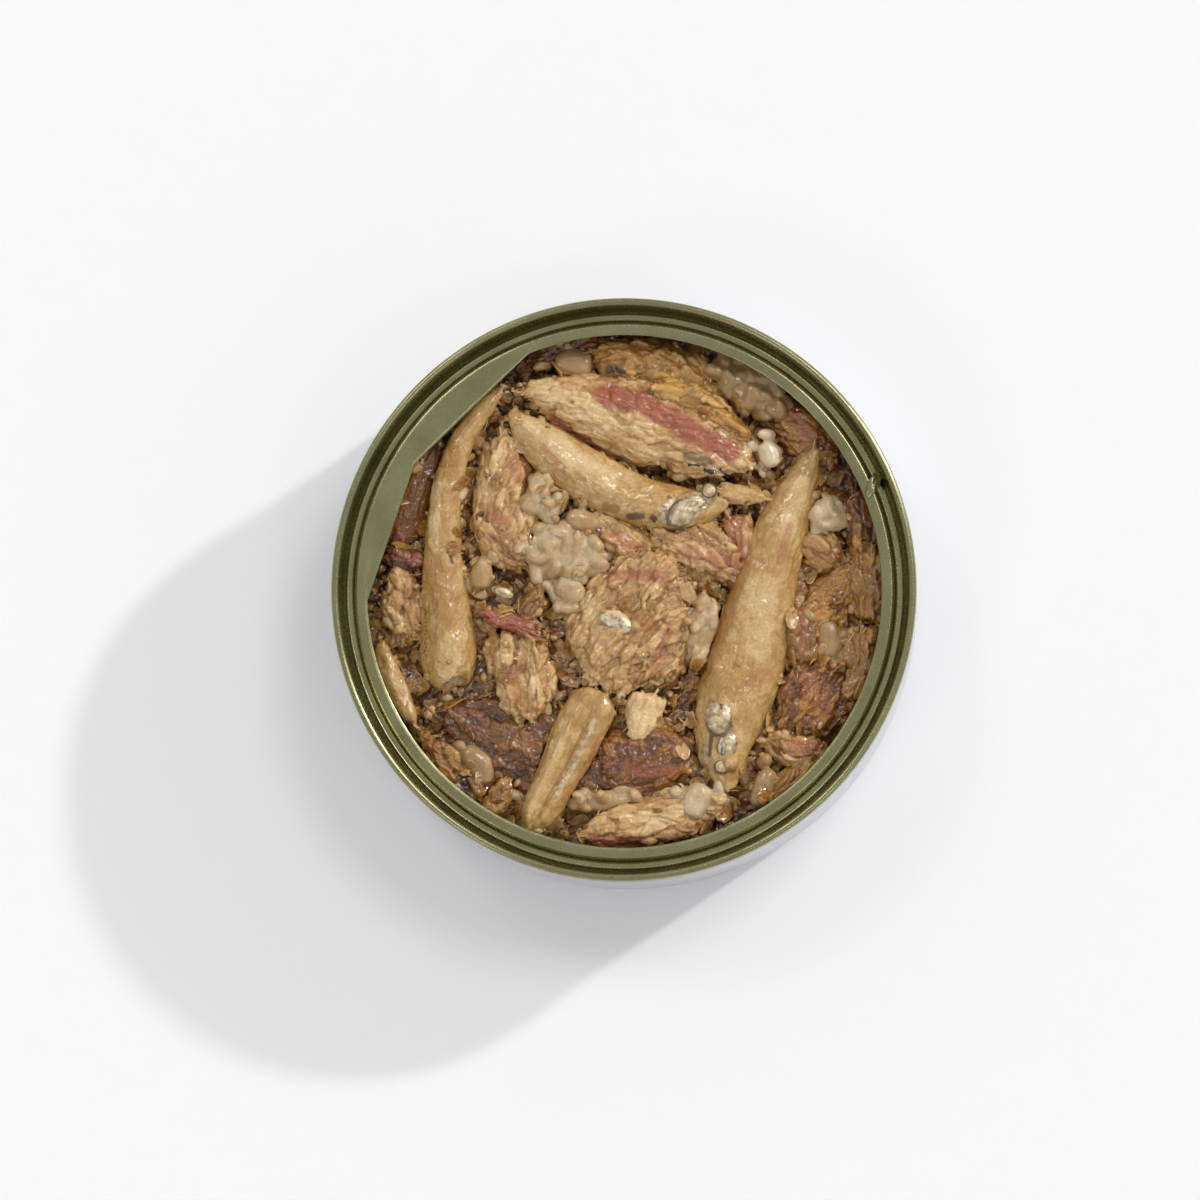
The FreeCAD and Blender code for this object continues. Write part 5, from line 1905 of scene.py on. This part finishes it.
    def strew(self, kind: Strew, skin: Object, tree: NodeTree) -> None:
        """Strew one kind of thing and keep the result as a plain mesh.

        Args:
            kind: What is strewn.
            skin: The net that carries it.
            tree: The tree that strews it.
        """
        chance = np.random.default_rng(kind.seed)
        bits = bpy.data.collections.new(kind.name + "_bits")
        for variant in range(kind.variants):
            points, faces = kind.shape(chance)
            bit = new_mesh_object(f"{kind.name}_{variant}", points * MM, faces, FINISHES[kind.flesh])
            bpy.context.scene.collection.objects.unlink(bit)
            bits.objects.link(bit)
        modifier = skin.modifiers.new("strew", "NODES")
        modifier.node_group = tree
        sockets = {item.name: item.identifier for item in tree.interface.items_tree if item.in_out == "INPUT"}
        smallest, largest = kind.scale
        deepest, palest = kind.tint
        for name, value in (("Bits", bits), ("Density", kind.density / MM ** 2), ("Seed", kind.seed),
                            ("Smallest", smallest), ("Largest", largest), ("Lean", kind.lean),
                            ("Deepest", deepest), ("Palest", palest), ("Finish", FINISHES[kind.flesh])):
            modifier[sockets[name]] = value
        mesh = evaluated_mesh(skin)
        skin.modifiers.remove(modifier)
        for bit in list(bits.objects):
            discard(bit)
        bpy.data.collections.remove(bits)
        places, _ = vertex_arrays(mesh)
        mesh.vertices.foreach_set("co", (held_inside(places / MM) * MM).astype(np.float32).ravel())
        set_attribute(mesh, "lay", places)
        mesh.update()
        settle(link_mesh(kind.name, mesh), kind.flesh.slot)

    def build(self) -> None:
        """Strew every kind over the food."""
        skin, tree = self.skin(), self.tree()
        for kind in self.kinds:
            self.strew(kind, skin, tree)
        discard(skin)


# ---------------------------------------------------------------- studio
@dataclass
class Studio:
    """Pale floor, soft light from all round, one low key light and a long lens from above."""

    floor_tone: str = "#f8f8f8"
    floor_half: float = 1.5
    camera_distance: float = 2.2
    camera_tilt: float = 5.8
    camera_side: tuple[float, float] = (0.439, -0.898)
    aim: tuple[float, float, float] = (-3.5, -1.64, 26.0)
    view_width: float = 178.8
    sensor_width: float = 36.0
    key_bearing: float = 34.0
    key_height: float = 27.0
    key_strength: float = 1.32
    key_width: float = 3.0
    surround: float = 0.66
    stops: Pairs = ((0.0, 0.60), (0.35, 0.95), (0.8, 0.80), (0.93, 0.78), (1.0, 0.80))
    windows: Sequence[tuple[float, float, float, float]] = (
        (48.0, 60.0, 8.0, 13.0), (128.0, 56.0, 5.0, 14.0), (228.0, 52.0, 5.0, 9.0), (318.0, 62.0, 4.0, 10.0))

    def make_floor(self) -> None:
        """Lay the pale floor."""
        made = bpy.data.materials.new("studio_floor")
        made.use_nodes = True
        feed(made.node_tree.nodes["Principled BSDF"], {
            "Base Color": linear(self.floor_tone), "Roughness": 0.7, "Specular IOR Level": 0.2})
        half = self.floor_half
        corners = np.array([(-half, -half, 0), (half, -half, 0), (half, half, 0), (-half, half, 0)])
        new_mesh_object("studio_floor", corners, [(0, 1, 2, 3)], made)

    @staticmethod
    def toward(bearing: float, rise: float) -> Vector:
        """The direction at a bearing and a height over the horizon, in degrees."""
        turn, lift = math.radians(bearing), math.radians(rise)
        return Vector((math.cos(turn) * math.cos(lift), math.sin(turn) * math.cos(lift), math.sin(lift)))

    def make_surround(self) -> None:
        """Light the tin softly from all round, with a few bright windows."""
        world = bpy.data.worlds.new("studio")
        bpy.context.scene.world = world
        world.use_nodes = True
        tree = world.node_tree
        way = add_node(tree, "ShaderNodeTexCoord").outputs["Generated"]
        height = add_node(tree, "ShaderNodeSeparateXYZ", {0: way}).outputs["Z"]
        ramp = add_node(tree, "ShaderNodeValToRGB", {0: height})
        for position, _ in self.stops[1:-1]:
            ramp.color_ramp.elements.new(position)
        for element, (_, level) in zip(ramp.color_ramp.elements, self.stops):
            element.color = (level, level, level, 1)
        light = ramp.outputs[0]
        for bearing, rise, half, level in self.windows:
            swing = add_node(tree, "ShaderNodeVectorMath", {0: way, 1: self.toward(bearing, rise)},
                             operation="DOT_PRODUCT")
            edge = math.cos(math.radians(half))
            lit = add_node(tree, "ShaderNodeMapRange", {
                0: swing.outputs["Value"], 1: edge - 0.004, 2: edge + 0.004, 3: 0.0, 4: level})
            light = add_node(tree, "ShaderNodeVectorMath", {0: light, 1: lit.outputs[0]},
                             operation="ADD").outputs[0]
        feed(tree.nodes["Background"], {"Color": light, "Strength": self.surround})

    def make_key(self) -> None:
        """Hang the low key light."""
        sun = bpy.data.lights.new("key", "SUN")
        sun.energy = self.key_strength
        sun.angle = math.radians(self.key_width)
        lamp = bpy.data.objects.new("key", sun)
        lamp.rotation_mode = "QUATERNION"
        lamp.rotation_quaternion = self.toward(self.key_bearing, self.key_height).to_track_quat("Z", "Y")
        bpy.context.scene.collection.objects.link(lamp)

    def make_camera(self) -> None:
        """Hang the camera over the tin, leaning a little to the front right."""
        lens = bpy.data.cameras.new("camera")
        lens.sensor_width = self.sensor_width
        lens.lens = self.sensor_width * self.camera_distance / (self.view_width * MM)
        lens.clip_start, lens.clip_end = 0.1, 10.0
        camera = bpy.data.objects.new("camera", lens)
        tilt, (aside, forward) = math.radians(self.camera_tilt), self.camera_side
        back = Vector((aside * math.sin(tilt), forward * math.sin(tilt), math.cos(tilt)))
        up = (Vector((0, 1, 0)) - back * back.y).normalized()
        right = up.cross(back)
        turn = Matrix((right, up, back)).transposed().to_4x4()
        camera.matrix_world = Matrix.Translation(Vector(self.aim) * MM + back * self.camera_distance) @ turn
        bpy.context.scene.collection.objects.link(camera)
        bpy.context.scene.camera = camera

    def build(self) -> None:
        """Set up floor, light, camera and view."""
        self.make_floor()
        self.make_surround()
        self.make_key()
        self.make_camera()
        bpy.context.scene.view_settings.view_transform = "Standard"


def main() -> None:
    """Build the tin, its food and the studio."""
    logging.basicConfig(level=logging.INFO, format="%(name)s %(message)s")
    Studio().build()
    Tin().build()
    Food().build()


if __name__ == "__main__":
    main()
